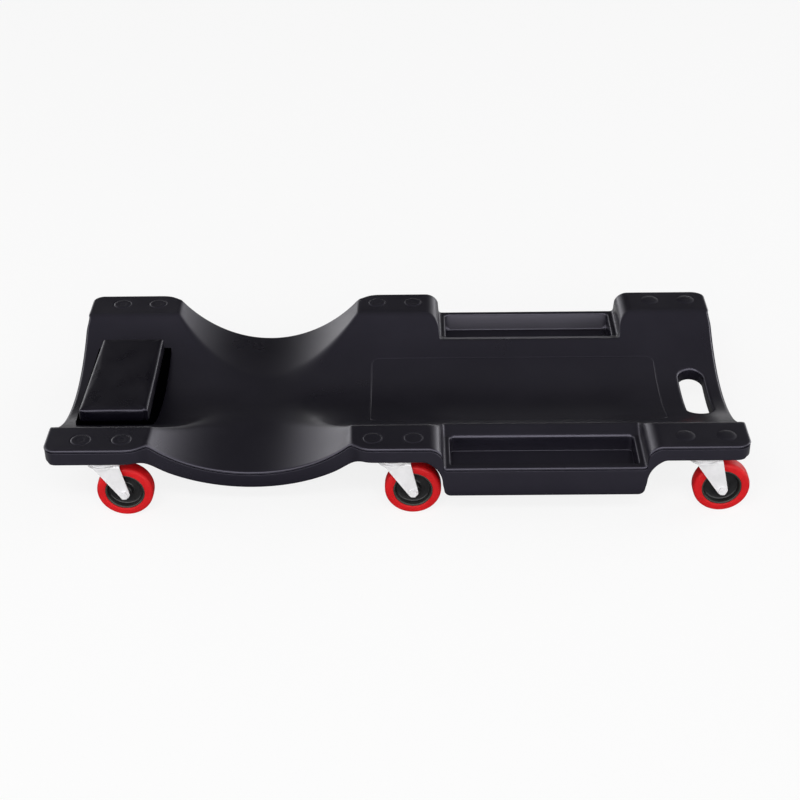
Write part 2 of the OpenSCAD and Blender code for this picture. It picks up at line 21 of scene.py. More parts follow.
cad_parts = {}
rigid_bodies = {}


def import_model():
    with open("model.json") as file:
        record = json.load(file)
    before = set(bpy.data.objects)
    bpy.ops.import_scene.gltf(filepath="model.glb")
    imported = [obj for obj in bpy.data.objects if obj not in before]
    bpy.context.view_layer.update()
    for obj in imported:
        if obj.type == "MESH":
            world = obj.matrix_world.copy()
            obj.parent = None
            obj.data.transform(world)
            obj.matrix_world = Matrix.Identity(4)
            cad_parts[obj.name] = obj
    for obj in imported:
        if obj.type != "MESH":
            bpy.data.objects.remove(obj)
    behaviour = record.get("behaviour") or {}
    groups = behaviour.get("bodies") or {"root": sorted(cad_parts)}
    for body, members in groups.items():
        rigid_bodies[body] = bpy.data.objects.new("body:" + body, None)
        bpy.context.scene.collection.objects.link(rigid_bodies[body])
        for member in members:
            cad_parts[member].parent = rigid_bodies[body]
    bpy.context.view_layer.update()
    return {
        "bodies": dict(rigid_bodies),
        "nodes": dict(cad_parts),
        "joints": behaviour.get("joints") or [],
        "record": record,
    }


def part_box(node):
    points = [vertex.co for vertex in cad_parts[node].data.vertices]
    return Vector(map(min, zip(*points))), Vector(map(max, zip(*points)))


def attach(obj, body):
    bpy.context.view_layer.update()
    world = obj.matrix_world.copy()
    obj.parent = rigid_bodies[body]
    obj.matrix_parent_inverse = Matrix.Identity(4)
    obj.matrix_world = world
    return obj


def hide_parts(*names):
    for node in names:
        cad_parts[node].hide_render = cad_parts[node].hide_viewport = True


MM = 0.001
BOTH = (-1, 1)
LOG = logging.getLogger("creeper")

Array = np.ndarray
Heights = Callable[[Array, Array], Array]
Triple = tuple[float, float, float]
Curve = tuple[tuple[float, float], ...]
Mesh = bpy.types.Mesh
Object = bpy.types.Object
Material = bpy.types.Material
Tree = bpy.types.NodeTree
Socket = bpy.types.NodeSocket


# Mesh helpers


def new_object(name: str, mesh: Mesh) -> Object:
    """Puts a mesh into the scene as an object at the origin.

    Args:
        name: the piece's name.
        mesh: its mesh, in metres.

    Returns:
        The new object.
    """
    piece = bpy.data.objects.new(name, mesh)
    bpy.context.scene.collection.objects.link(piece)
    return piece


def shade_smooth(mesh: Mesh) -> None:
    """Shades every face of a mesh smooth."""
    mesh.polygons.foreach_set("use_smooth", np.ones(len(mesh.polygons), bool))


def mesh_from(name: str, points: Array, faces: list) -> Mesh:
    """Makes a smooth mesh from points in millimetres.

    Args:
        name: the mesh's name.
        points: an array of shape (n, 3), in millimetres.
        faces: the corners of each face, counter-clockwise seen from outside.

    Returns:
        The mesh, in metres.
    """
    mesh = bpy.data.meshes.new(name)
    mesh.from_pydata((np.asarray(points, float) * MM).tolist(), [], faces)
    shade_smooth(mesh)
    mesh.update()
    return mesh


def points_of(mesh: Mesh) -> Array:
    """Reads a mesh's points.

    Args:
        mesh: the mesh.

    Returns:
        An array of shape (n, 3), in metres.
    """
    place = np.zeros(len(mesh.vertices) * 3)
    mesh.vertices.foreach_get("co", place)
    return place.reshape(-1, 3)


def store_share(mesh: Mesh, attribute: str, share: Array) -> None:
    """Stores one value from 0 to 1 for each point of a mesh, under an attribute's name."""
    mesh.attributes.new(attribute, "FLOAT", "POINT").data.foreach_set("value", share.astype(np.float32))


def grid_faces(rows: int, cols: int, wrap_rows: bool = False) -> Array:
    """Quads of a grid whose points are stored row by row, with the last column joined to the first.

    Args:
        rows: number of rows of points.
        cols: number of points in a row.
        wrap_rows: joins the last row to the first.

    Returns:
        An array of shape (faces, 4) of point numbers.
    """
    i = np.arange(rows if wrap_rows else rows - 1)[:, None]
    j = np.arange(cols)[None, :]
    ni, nj = (i + 1) % rows, (j + 1) % cols
    return np.stack([i * cols + j, i * cols + nj, ni * cols + nj, ni * cols + j], -1).reshape(-1, 4)


def weld(mesh: Mesh, distance: float, flat: float = 0.0) -> None:
    """Merges points that lie together, then joins flat faces or turns every face outwards.

    Args:
        mesh: the mesh to mend.
        distance: how far apart merged points may lie, in metres.
        flat: angle in degrees up to which faces are joined. With 0 they are turned outwards instead.
    """
    work = bmesh.new()
    work.from_mesh(mesh)
    bmesh.ops.remove_doubles(work, verts=work.verts, dist=distance)
    bmesh.ops.dissolve_degenerate(work, edges=work.edges, dist=distance)
    if flat:
        bmesh.ops.dissolve_limit(work, angle_limit=math.radians(flat), verts=work.verts, edges=work.edges)
    else:
        bmesh.ops.recalc_face_normals(work, faces=work.faces)
    work.to_mesh(mesh)
    work.free()
    mesh.update()


def smooth_min(a: Array, b: Array, width: Array | float) -> Array:
    """Least of two surfaces, with the crease between them rounded.

    The share h runs from 0 to 1 while b - a runs from -width to width, and the result is
    a h + b (1 - h) - width h (1 - h).

    Args:
        a: heights of the first surface.
        b: heights of the second surface.
        width: difference in height over which the crease is rounded.

    Returns:
        The blended heights.
    """
    h = np.clip(0.5 + 0.5 * (b - a) / width, 0.0, 1.0)
    return b * (1 - h) + a * h - width * h * (1 - h)


def smooth_step(low: float, high: float, at: Array) -> Array:
    """Rises from 0 at low to 1 at high as 3 t^2 - 2 t^3, flat at both ends."""
    t = np.clip((at - low) / (high - low), 0.0, 1.0)
    return t * t * (3 - 2 * t)


def round_rect_loop(half_x: float, half_y: float, radius: float, step: float) -> Array:
    """Points round a rounded rectangle about the origin, counter-clockwise.

    Args:
        half_x: half its length.
        half_y: half its width.
        radius: its corner radius.
        step: greatest distance between neighbouring points.

    Returns:
        An array of shape (n, 2).
    """
    corner_step = 1.6
    bends = max(4, int(math.ceil(radius * math.pi / 2 / min(step, corner_step))))
    turn = np.linspace(0, math.pi / 2, bends + 1)
    corners = []
    for quarter, (sx, sy) in enumerate([(1, 1), (-1, 1), (-1, -1), (1, -1)]):
        angle = turn + quarter * math.pi / 2
        centre = np.array([sx * (half_x - radius), sy * (half_y - radius)])
        corners.append(centre + radius * np.stack([np.cos(angle), np.sin(angle)], 1))
    loop = np.concatenate(corners)
    loop = loop[np.linalg.norm(loop - np.roll(loop, 1, axis=0), axis=1) > 1e-6]
    ends = np.roll(loop, -1, axis=0)
    parts = np.maximum(1, np.ceil(np.linalg.norm(ends - loop, axis=1) / step)).astype(int)
    owner = np.repeat(np.arange(len(loop)), parts)
    first = np.concatenate([[0], np.cumsum(parts)[:-1]])
    share = (np.arange(parts.sum()) - first[owner]) / parts[owner]
    return loop[owner] + (ends - loop)[owner] * share[:, None]


# Deck


@dataclass
class Pit:
    """A sunk or raised feature of one face of the deck, drawn as nested loops.

    Each loop lies at one distance from the feature's outline, and sinks by its own depth.
    """

    centre: tuple[float, float]
    half_x: float
    half_y: float
    radius: float
    offsets: tuple[float, ...]
    depths: tuple[float, ...]
    to_floor: float | None = None
    step: float = 3.0
    lean: float = 0.0
    outer: int = 1
    lean_blend: float = 0.06
    least_radius: float = 0.4

    @classmethod
    def disc(cls, centre: tuple[float, float], radius: float, offsets: tuple[float, ...],
             depths: tuple[float, ...]) -> "Pit":
        """Makes a round feature.

        Args:
            centre: its middle.
            radius: its radius.
            offsets: distances of its loops from its outline.
            depths: how far each loop sinks.

        Returns:
            The feature.
        """
        return cls(centre, radius, radius, radius, offsets, depths, step=1.6)

    def distance(self, x: Array, y: Array) -> Array:
        """Distance outside the feature's rounded rectangle, negative inside.

        Args:
            x: places along the deck.
            y: places across the deck.

        Returns:
            The signed distances.
        """
        qx = np.abs(x - self.centre[0]) - (self.half_x - self.radius)
        qy = np.abs(y - self.centre[1]) - (self.half_y - self.radius)
        outside = np.hypot(np.maximum(qx, 0), np.maximum(qy, 0))
        return outside + np.minimum(np.maximum(qx, qy), 0) - self.radius

    def depth(self, x: Array, y: Array, height: Array) -> Array:
        """How far the face sinks at each place.

        The depth is read off the profile of offsets and depths. With a floor, the last depth
        stands for the whole way from the face down to that floor. A leaning outer wall limits the
        depth to a share that grows from 0 at its top to 1 at its foot.

        Args:
            x: places along the deck.
            y: places across the deck.
            height: heights of the face without the feature.

        Returns:
            Depths below the face.
        """
        order = np.argsort(self.offsets)
        sunk = np.interp(self.distance(x, y), np.array(self.offsets)[order], np.array(self.depths)[order])
        if self.to_floor is None:
            return sunk
        share = sunk / max(self.depths)
        if self.lean:
            run = (self.half_y - self.outer * (y - self.centre[1])) / self.lean
            share = np.maximum(smooth_min(share, run, self.lean_blend), 0.0)
        return share * (height - self.to_floor)

    def loops(self) -> list[Array]:
        """The nested outlines.

        Returns:
            Arrays of shape (n, 2).
        """
        return [
            round_rect_loop(self.half_x + offset, self.half_y + offset,
                            max(self.radius + offset, self.least_radius), self.step) + np.array(self.centre)
            for offset in self.offsets
        ]


TURN = np.radians([0.0, 25.0, 50.0, 72.0, 90.0])
SETTLE = np.array([3.4, 1.4])


@dataclass(frozen=True)
class Rounding:
    """A quarter circle along an outline, with two flat loops beside it."""

    radius: float
    inset: float = 0.0

    def insets(self) -> Array:
        """Distances of the loops from the outline, the nearest last."""
        return self.inset + np.concatenate([self.radius + SETTLE, self.radius * (1 - np.sin(TURN))])

    def drops(self) -> Array:
        """How far the face falls at each loop, as r (1 - cos a)."""
        return np.concatenate([0 * SETTLE, self.radius * (1 - np.cos(TURN))])


def round_hollow(reach: Array, radius: float, axis: float | Array) -> Array:
    """Height of a round hollow whose walls go on rising straight near its full radius.

    Args:
        reach: distances from the hollow's axis, in plan.
        radius: the hollow's radius.
        axis: height of its axis.

    Returns:
        Heights, as axis - sqrt(radius^2 - reach^2) up to a share of the radius.
    """
    round_share, wall_rise = 0.86, 1.7
    inside = np.minimum(reach, radius * round_share)
    return axis - np.sqrt(radius**2 - inside**2) + (reach - inside) * wall_rise


@dataclass
class DeckShape:
    """Sizes and surfaces of the moulded deck."""

    length: float = 930.0
    width: float = 430.0
    pad_top: float = 116.0
    pad_step: float = 1.0
    step_x: tuple[float, float] = (-120.0, -70.0)
    pad_corner: float = 5.0
    pad_blend: float = 2.6
    thickness: float = 20.0
    trough_half: float = 154.0
    trough_depth: float = 54.0
    corner_radius: float = 18.0
    arm_x: float = -193.0
    arm_half: float = 135.0
    arm_depth: float = 58.0
    arm_rise: float = 5.0
    arm_level: float = 30.0
    arm_fall_in: float = 20.0
    crease: float = 5.0
    crease_more: float = 4.0
    crease_y: tuple[float, float] = (150.0, 60.0)
    waist_in: float = 31.0
    waist_radius: float = 535.0
    pad_ease: float = 35.0
    tray_x: float = 197.0
    tray_half: float = 124.0
    tray_width: float = 68.5
    tray_side_wall: float = 11.5
    tray_corner: float = 6.0
    wall_half: float = 134.0
    wall_foot: float = 5.0
    wall_join: tuple[float, float] = (-0.4, 1.0)
    rim_z: float = 83.0
    floor_z: float = 59.0
    tray_lean: float = 6.8
    box_z: float = 40.0
    box_half: float = 135.0
    box_draft: float = 2.0
    box_end: float = 9.0
    box_in: float = 17.0
    box_past: float = 30.0
    box_blend: float = 1.0
    slope_width: float = 20.0
    shoulder: float = 20.0
    under_fillet: float = 38.0
    under_blend: float = 7.0
    fillet_run: float = 30.2
    slot_x: float = 427.0
    slot_length: float = 120.0
    slot_width: float = 36.0
    panel_x: float = 170.0
    panel_length: float = 416.0
    panel_width: float = 169.0
    panel_corner: float = 12.0
    mark_radius: float = 12.7
    caster_x: Triple = (-390.0, -3.5, 409.0)
    caster_y: float = 186.0
    bolt_pitch: float = 54.0
    insert_radius: float = 4.6
    insert_depth: float = 12.0
    rest_x: float = -388.0
    rest_screw_l: float = 60.0
    rest_screw_w: float = 124.0
    spot_radius: float = 7.25
    flutes: int = 5
    flute_length: float = 300.0
    flute_width: float = 12.0
    flute_depth: float = 11.0
    flute_pitch: float = 34.0
    bead: float = 2.4
    bead_in: float = 3.0
    lip: float = 1.2
    skirt: float = 2.4
    skirt_waist: float = 1.2
    skirt_width: float = 5.0
    skirt_fade: float = 1.2
    foot_reach: float = 4.2
    head_reach: float = 1.2
    end_cut: float = 2.4
    end_fade: tuple[float, float] = (18.0, 2.0)
    end_cut_below: tuple[float, float] = (2.8, 3.8)
    end_cut_beside: float = 20.0
    under_round: float = 1.6
    slot_round: float = 3.5

    def __post_init__(self) -> None:
        """Works out the radii of the hollows and lists the small features."""
        self.trough_radius = (self.trough_half**2 + self.trough_depth**2) / (2 * self.trough_depth)
        self.arm_radius = (self.arm_half**2 + self.arm_depth**2) / (2 * self.arm_depth)
        self.tray_out = self.width / 2 - self.tray_side_wall
        self.tray_in = self.tray_out - self.tray_width
        self.crest = self.tray_in - self.slope_width
        self.crest_z = float(self.trough(np.array([self.crest]))[0])
        self.outline_table = self._half_width_table()
        panel = Pit((self.panel_x, 0.0), self.panel_length / 2, self.panel_width / 2, self.panel_corner,
                    (2.6, 1.2, 0.5, 0.0, -0.4, -1.2, -1.6, -2.1, -2.8, -4.2),
                    (0.0, 0.0, 0.0, 0.08, 0.5, 0.5, 0.08, 0.0, 0.0, 0.0), step=5.0)
        self.pits_top = self._tray_pockets() + self._ring_marks() + [panel]
        self.pits_under = self._under_pits()

    def _half_width_table(self) -> tuple[Array, Array]:
        """Half width of the deck along X: straight pads and drawn-in arcs, rounded where they meet.

        The arc is the waist's circle. A running mean over the pad's ease radius rounds the corners.

        Returns:
            Places along the deck, and the half width at each.
        """
        margin, step, span, arc_reach = 60, 0.5, 25, 200
        x = np.arange(-self.length / 2 - margin, self.length / 2 + margin, step)
        reach = x - self.arm_x
        axis = self.width / 2 - self.waist_in + self.waist_radius
        arc = axis - np.sqrt(self.waist_radius**2 - np.clip(reach, -arc_reach, arc_reach) ** 2)
        ease_drop = self.width / 2 - (axis - math.sqrt(self.waist_radius**2 - self.arm_half**2))
        ease_run = math.sqrt(self.pad_ease**2 - (self.pad_ease - ease_drop) ** 2)
        past = np.clip(self.arm_half + ease_run - np.abs(reach), 0, ease_run)
        eased = self.width / 2 - self.pad_ease + np.sqrt(self.pad_ease**2 - past**2)
        half = np.where(np.abs(reach) < self.arm_half, arc, eased)
        kernel = np.hanning(2 * span + 1)
        return x, np.convolve(np.pad(half, span, mode="edge"), kernel / kernel.sum(), mode="valid")

    def half_width(self, x: Array) -> Array:
        """Half width of the deck at each place along it, without the end corners."""
        return np.interp(x, *self.outline_table)

    def trough(self, y: Array, grow: float = 0.0) -> Array:
        """Height of the body trough: a round hollow about an axis along X.

        Args:
            y: places across the deck.
            grow: how far outside the hollow's surface to measure.

        Returns:
            Heights, which keep rising past the hollow's half width.
        """
        axis = self.pad_top - self.trough_depth + self.trough_radius
        return round_hollow(np.abs(y), self.trough_radius + grow, axis)

    def arm(self, x: Array, y: Array, grow: float = 0.0) -> Array:
        """Height of the arm recess: a round hollow about an axis along Y that falls to both sides.

        Args:
            x: places along the deck.
            y: places across the deck.
            grow: how far outside the hollow's surface to measure.

        Returns:
            Heights, which keep rising past the hollow's half length.
        """
        level, run = self.arm_level, self.width / 2 - self.waist_in - self.arm_fall_in
        fall = (np.sqrt(y**2 + level**2) - level) * self.arm_rise / run
        axis = self.pad_top - self.arm_depth + self.arm_rise + self.arm_radius - fall
        return round_hollow(np.abs(x - self.arm_x), self.arm_radius + grow, axis)

    def tray_level(self, y: Array) -> Array:
        """Height of the slope from the crest to the tray's rim, and of the rim."""
        slope = (self.crest_z - self.rim_z) / self.slope_width
        return np.maximum(self.rim_z, self.crest_z - slope * (np.abs(y) - self.crest))

    def corner_shift(self, inset: Array) -> Array:
        """How far a pad's rounded outer corner lies back, at each distance inside the deck's side."""
        radius = self.pad_corner
        return radius - np.sqrt(radius**2 - (radius - np.clip(inset, 0, radius)) ** 2)

    def pad_level(self, x: Array, y: Array) -> Array:
        """Height of the pads, falling down a round shoulder and a short wall to the trays.

        From the tray's middle outwards the profile is the level of the slope or rim, a hollow
        quarter circle of the foot's radius, a steep wall, the shoulder's quarter circle and the pad.
        The middle and foot pads lie a step lower than the head pads.

        Args:
            x: places along the deck.
            y: places across the deck.

        Returns:
            Heights of the pads and of the tray's surroundings.
        """
        reach = np.abs(x - self.tray_x) - self.corner_shift(self.half_width(x) - np.abs(y))
        foot = self.wall_foot
        level = self.pad_top - self.pad_step * smooth_step(*self.step_x, x)
        past = np.clip(reach - self.wall_half + foot, 0, foot)
        rise = self.tray_level(y) + foot - np.sqrt(foot**2 - past**2)
        short = np.clip(self.wall_half + self.shoulder - reach, 0, self.shoulder)
        arc = level - self.shoulder + np.sqrt(self.shoulder**2 - short**2)
        share = smooth_step(*(self.wall_half + join for join in self.wall_join), reach)
        return np.minimum(rise * (1 - share) + arc * share, level)

    def top(self, x: Array, y: Array) -> Array:
        """Height of the deck's upper face, without its rounded outer edge.

        Args:
            x: places along the deck.
            y: places across the deck.

        Returns:
            The face's heights.
        """
        crease = self.crease + self.crease_more * smooth_step(*self.crease_y, np.abs(y))
        hollow = smooth_min(self.arm(x, y), self.trough(y), crease)
        return smooth_min(self.pad_level(x, y), hollow, self.pad_blend)

    def under(self, x: Array, y: Array) -> Array:
        """Height of the deck's lower face, with a low skirt along its sides.

        Args:
            x: places along the deck.
            y: places across the deck.

        Returns:
            The face's heights, without its rounded outer edge.
        """
        skin = np.full_like(x, self.pad_top - self.thickness)
        for hollow in (self.arm(x, y, self.thickness), self.trough(y, self.thickness)):
            skin = smooth_min(skin, hollow, self.under_blend)
        at_waist = smooth_step(self.arm_half, self.arm_half * 0.8, np.abs(x - self.arm_x))
        inset = self.half_width(x) - np.abs(y)
        share = smooth_step(self.skirt_width + self.skirt_fade, self.skirt_width - self.skirt_fade, inset)
        skin = skin - (self.skirt + self.skirt_waist * at_waist) * share
        return smooth_min(skin, self.box_under(x, y), self.box_blend)

    def box_under(self, x: Array, y: Array) -> Array:
        """Height of the tray boxes' lower face.

        Along X it is flat, then a rounded corner, a steep wall and a hollow arc up to the pads.
        Across the deck it is flat and then a steep wall on the inner side.

        Args:
            x: places along the deck.
            y: places across the deck.

        Returns:
            The face's heights.
        """
        reach = np.abs(x - self.tray_x)
        under = self.pad_top - self.thickness
        fillet, end = self.under_fillet, self.box_end
        rise = math.sqrt(fillet**2 - (fillet - self.fillet_run) ** 2)
        low = self.box_half - self.box_draft - end
        centre = self.box_half + fillet
        points = [(0.0, self.box_z)]
        points += [(low + end * math.sin(t), self.box_z + end * (1 - math.cos(t)))
                   for t in np.linspace(0.0, math.pi / 2, 12)]
        points += [(centre - fillet * math.cos(t), under - rise + fillet * math.sin(t))
                   for t in np.linspace(0.0, math.asin(rise / fillet), 16)]
        points.append((self.box_half + self.fillet_run + self.box_past, under + self.box_past))
        along = np.interp(reach, *np.array(points).T)
        edge = self.tray_in - self.box_in
        across = np.interp(np.abs(y), [edge - 2.0, edge - 0.5, edge + 1.5, edge + 4.0, edge + 8.0],
                           [under + 20.0, self.box_z + 10.0, self.box_z + 4.0, self.box_z + 1.2, self.box_z])
        return np.maximum(along, across)

    def _tray_pockets(self) -> list[Pit]:
        """The two tray pockets, with rounded rims, drafted walls and rounded floors.

        Returns:
            One feature for each side.
        """
        middle = (self.tray_in + self.tray_out) / 2
        offsets = (5.6, 4.2, 3.2, 2.3, 1.5, 0.8, 0.3, 0.0, -0.3, -0.6, -0.8, -1.1, -1.5, -2.2, -3.6)
        depths = (0.0, 0.0, 0.07, 0.25, 0.55, 1.1, 1.8, 2.7, 11.0, 22.4, 23.4, 23.8, 23.95, 24.0, 24.0)
        return [
            Pit((self.tray_x, side * middle), self.tray_half, self.tray_width / 2, self.tray_corner,
                offsets, depths, to_floor=self.floor_z, lean=self.tray_lean, outer=side)
            for side in BOTH
        ]

    def _ring_marks(self) -> list[Pit]:
        """Raised ring marks on the pads, with a small dimple, and domed at the foot end.

        Returns:
            One feature for each mark.
        """
        domed = ((3.4, 1.8, 0.9, 0.2, -0.7, -1.8, -3.2, -5.0, -7.0, -9.2, -11.5),
                 (0.0, 0.0, 0.05, 0.0, -0.24, -0.48, -0.69, -0.86, -0.96, -1.0, -1.02))
        ringed = ((3.4, 2.0, 1.0, 0.55, 0.0, -0.55, -1.2, -2.2, -3.5, -5.2, -6.6, -7.6, -8.8, -11.5),
                  (0.0, 0.0, 0.08, 0.3, 0.5, 0.15, -0.25, -0.35, -0.35, -0.35, -0.32, -0.15, -0.2, -0.25))
        return [
            Pit.disc((place + end * self.bolt_pitch / 2, side * self.caster_y), self.mark_radius,
                     *(domed if place == self.caster_x[2] else ringed))
            for place, side, end in product(self.caster_x, BOTH, BOTH)
        ]

    def _under_pits(self) -> list[Pit]:
        """Flutes, screw seats and insert holes in the lower face, with depths counted upwards.

        Returns:
            The features, in that order.
        """
        flutes = [
            Pit((self.panel_x, (index - (self.flutes - 1) / 2) * self.flute_pitch), self.flute_length / 2,
                self.flute_width / 2, self.flute_width / 2,
                (1.6, 0.7, 0.0, -1.0, -1.8, -3.4), (0.0, -0.3, -1.4, -8.4, -10.2, -self.flute_depth))
            for index in range(self.flutes)
        ]
        seats = [
            Pit.disc((self.rest_x + sx * self.rest_screw_l / 2, sy * self.rest_screw_w / 2), self.spot_radius,
                     (0.6, 0.1, -0.3, -1.2), (0.0, -0.3, -2.7, -3.0))
            for sx, sy in product(BOTH, BOTH)
        ]
        holes = [
            Pit.disc((place + sx * self.bolt_pitch / 2, sy * self.caster_y), self.insert_radius,
                     (0.2, -0.05, -0.4), (0.0, -1.0, -self.insert_depth))
            for place, sx, sy in product(self.caster_x, BOTH, BOTH)
        ]
        return flutes + seats + holes

    def end_marks(self) -> Array:
        """Places along a tray that lie close together where its ends are steep.

        Returns:
            Distances from the tray's middle along X.
        """
        return self.wall_half + np.array([
            -12.0, -10.0, -8.4, -7.0, -5.8, -5.0, -4.2, -3.4, -2.7, -2.1, -1.6, -1.2, -0.8, -0.4, 0.0, 0.4,
            0.8, 1.2, 1.6, 2.1, 2.8, 3.7, 4.9, 6.5, 8.5, 11.0, 14.0, 17.0, 20.0, 23.0, 26.0, 29.0, 31.2,
            34.0, 38.0])

    def outline(self) -> tuple[Array, Array]:
        """The deck's plan outline, counter-clockwise, and its outward directions.

        Returns:
            Points and unit directions, each of shape (n, 2).
        """
        half_l, r = self.length / 2, self.corner_radius
        joint, side_step, end_step, mark_gap, least_gap = 136.4, 4.0, 3.941, 1.6, 0.35
        lower, upper = self.end_marks(), self.end_marks() + self.pad_corner
        both = np.unique(np.concatenate([lower[lower < joint], upper[upper > joint]]))
        marks = np.concatenate([self.tray_x + both, self.tray_x - both])
        plain = np.arange(-half_l + r, half_l - r, side_step)
        apart = np.abs(plain[:, None] - marks[None, :]).min(axis=1)
        side_x = np.unique(np.round(np.concatenate([plain[apart > mark_gap], marks, [half_l - r]]), 3))
        side_x = side_x[np.concatenate([[True], np.diff(side_x) > least_gap])]
        side = np.stack([side_x, self.half_width(side_x)], 1)
        turn = np.linspace(0, math.pi / 2, 15)[1:-1]
        corner = np.stack([half_l - r + r * np.sin(turn), self.width / 2 - r + r * np.cos(turn)], 1)
        end_y = np.arange(self.width / 2 - r, -0.1, -end_step)
        foot = np.concatenate([corner, np.stack([np.full_like(end_y, half_l), end_y], 1)])
        head = np.stack([-foot[::-1, 0], foot[::-1, 1]], 1)
        left = np.concatenate([head, side, foot])
        left = left[np.abs(left[:, 1]) > 0.5]
        right = np.stack([left[::-1, 0], -left[::-1, 1]], 1)
        loop = np.concatenate([left[::-1], right[::-1]])
        along = np.roll(loop, -1, axis=0) - np.roll(loop, 1, axis=0)
        along /= np.linalg.norm(along, axis=1, keepdims=True)
        return loop, np.stack([along[:, 1], -along[:, 0]], 1)


class Deck:
    """The moulded deck as one closed surface: two faces joined round the outline and the slot."""

    wide_step, close_step, long_step = 3.5, 1.2, 4.0
    line_gap, fill_gap, rim_gap = 1.0, 2.2, 1.0
    least_inset = 0.4
    fill_steps = ((2.5, 0.012, math.inf), (5.0, 2e-5, 0.012), (10.0, -1.0, 2e-5))
    groove_in = (1.8, 2.0, 2.4, 2.75, 2.8, 2.4, 0.6, 0.12, 0.02, 0.0, 0.0)
    groove_down = (0.0, 0.25, 0.45, 0.7, 1.0, 1.25, 1.45, 1.52, 1.64, 1.85, 6.4)

    def __init__(self, shape: DeckShape) -> None:
        """Keeps the deck's sizes."""
        self.shape = shape

    def _creases(self, face: Heights) -> Array:
        """Spreads points over the deck, close together where a face bends and wide apart elsewhere.

        A point of a 2.5 mm grid stays where the second difference of the height is large, one of
        a 5 mm grid where the face bends at all, and one of a 10 mm grid where it is flat.

        Args:
            face: the function that gives a face's height.

        Returns:
            Points of shape (n, 2).
        """
        half_l, half_w = self.shape.length / 2, self.shape.width / 2
        kept = []
        for step, low, high in self.fill_steps:
            x, y = np.meshgrid(np.arange(-half_l + 1, half_l, step), np.arange(-half_w + 1, half_w, step))
            x, y = x.ravel(), y.ravel()
            near = max(step, self.long_step)
            here = face(x, y)
            bend = sum(
                np.abs(face(x + dx, y + dy) - 2 * here + face(x - dx, y - dy)) / near**2
                for dx, dy in ((near, 0.0), (0.0, near))
            )
            keep = (bend >= low) & (bend < high)
            kept.append(np.stack([x[keep], y[keep]], 1))
        return np.concatenate(kept)

    def _mirrored(self, x: Array, y: Array, ends: tuple[int, ...] = BOTH) -> list[Array]:
        """Repeats points on both sides of the deck, and at both ends of the trays.

        Args:
            x: distances from the trays' middle along the deck.
            y: places across the deck.
            ends: 1 for the foot end of the trays, -1 for the head end.

        Returns:
            Arrays of shape (n, 2).
        """
        return [np.stack([self.shape.tray_x + end * x.ravel(), side * y.ravel()], 1)
                for end, side in product(ends, BOTH)]

    def _wall_lines(self) -> Array:
        """Close lines of points across the pads' end walls above the trays, and along the trays' outer walls.

        Returns:
            Points of shape (n, 2).
        """
        shape = self.shape
        steep, inside_crest, middle, side = (126.0, 161.0), 30.0, 206.0, 212.0
        reach = shape.end_marks()
        reach = reach[(reach > steep[0]) & (reach < steep[1])]
        y = np.concatenate([np.arange(shape.crest - inside_crest, middle, self.wide_step),
                            np.arange(middle + 1.0, side, self.close_step)])
        x = reach[:, None] + shape.corner_shift(shape.width / 2 - y)[None, :]
        rows = self._mirrored(x, np.broadcast_to(y, x.shape))
        foot = shape.tray_out - np.array([1.2, 2.2, 3.2, 4.2, 5.2, 5.9, 6.5, 7.1, 7.8, 8.6, 9.6])
        along = np.arange(-120.0, 121.0, self.long_step)
        return np.concatenate(rows + self._mirrored(*np.meshgrid(along, foot), (1,)))

    def _box_lines(self) -> Array:
        """Close lines of points over the tray boxes' lower edges and walls.

        Returns:
            Points of shape (n, 2).
        """
        shape = self.shape
        inner = shape.tray_in - shape.box_in
        across = np.arange(inner - 2.0, 208.0, self.wide_step)
        rows = self._mirrored(*np.meshgrid(shape.end_marks(), across))
        edge = inner + np.array([-4.0, -2.0, -1.2, -0.5, 0.5, 1.5, 2.7, 4.0, 6.0, 8.0])
        along = np.arange(-118.0, 119.0, self.long_step)
        return np.concatenate(rows + self._mirrored(*np.meshgrid(along, edge), (1,)))

    @staticmethod
    def _clear_of(points: Array, taken: Array, gap: float) -> Array:
        """Drops the points that lie within about gap of any taken one, on a raster of 1 mm cells.

        Args:
            points: candidate points, shape (n, 2).
            taken: points that stay, shape (m, 2).
            gap: least distance, in millimetres.

        Returns:
            The candidates that are left.
        """
        origin, size = np.array([-520, -260]), (1040, 520)
        raster = np.zeros(size, bool)
        cell = np.floor(taken - origin).astype(int)
        reach = int(round(gap))
        for dx, dy in product(range(-reach, reach + 1), repeat=2):
            if math.hypot(dx, dy) <= gap:
                raster[cell[:, 0] + dx, cell[:, 1] + dy] = True
        at = np.floor(points - origin).astype(int)
        return points[~raster[at[:, 0], at[:, 1]]]

    def _fill(self, face: Heights, taken: Array, lines: Array, edge: Rounding, slot: Pit) -> Array:
        """Points that fill a face between its loops.

        Args:
            face: the function that gives the face's height.
            taken: the loops' points, shape (n, 2).
            lines: extra points across steep stretches.
            edge: the rounded edge, inside which the points stay.
            slot: the slot, outside which they stay.

        Returns:
            Points of shape (m, 2).
        """
        shape = self.shape
        lines = self._clear_of(lines, taken, self.line_gap)
        fill = self._clear_of(self._creases(face), np.concatenate([taken, lines]), self.fill_gap)
        fill = np.concatenate([lines, fill])
        inner, radius, gap = edge.insets()[0], shape.corner_radius, self.rim_gap
        corner_x = np.abs(fill[:, 0]) - (shape.length / 2 - radius)
        corner_y = np.abs(fill[:, 1]) - (shape.width / 2 - radius)
        past = (corner_x > 0) & (corner_y > 0) & (np.hypot(corner_x, corner_y) > radius - inner - gap)
        inside = (shape.half_width(fill[:, 0]) - np.abs(fill[:, 1]) > inner + gap) & ~past
        inside &= (corner_x < radius - inner - gap) & (slot.distance(*fill.T) > slot.offsets[0] + gap)
        return fill[inside]

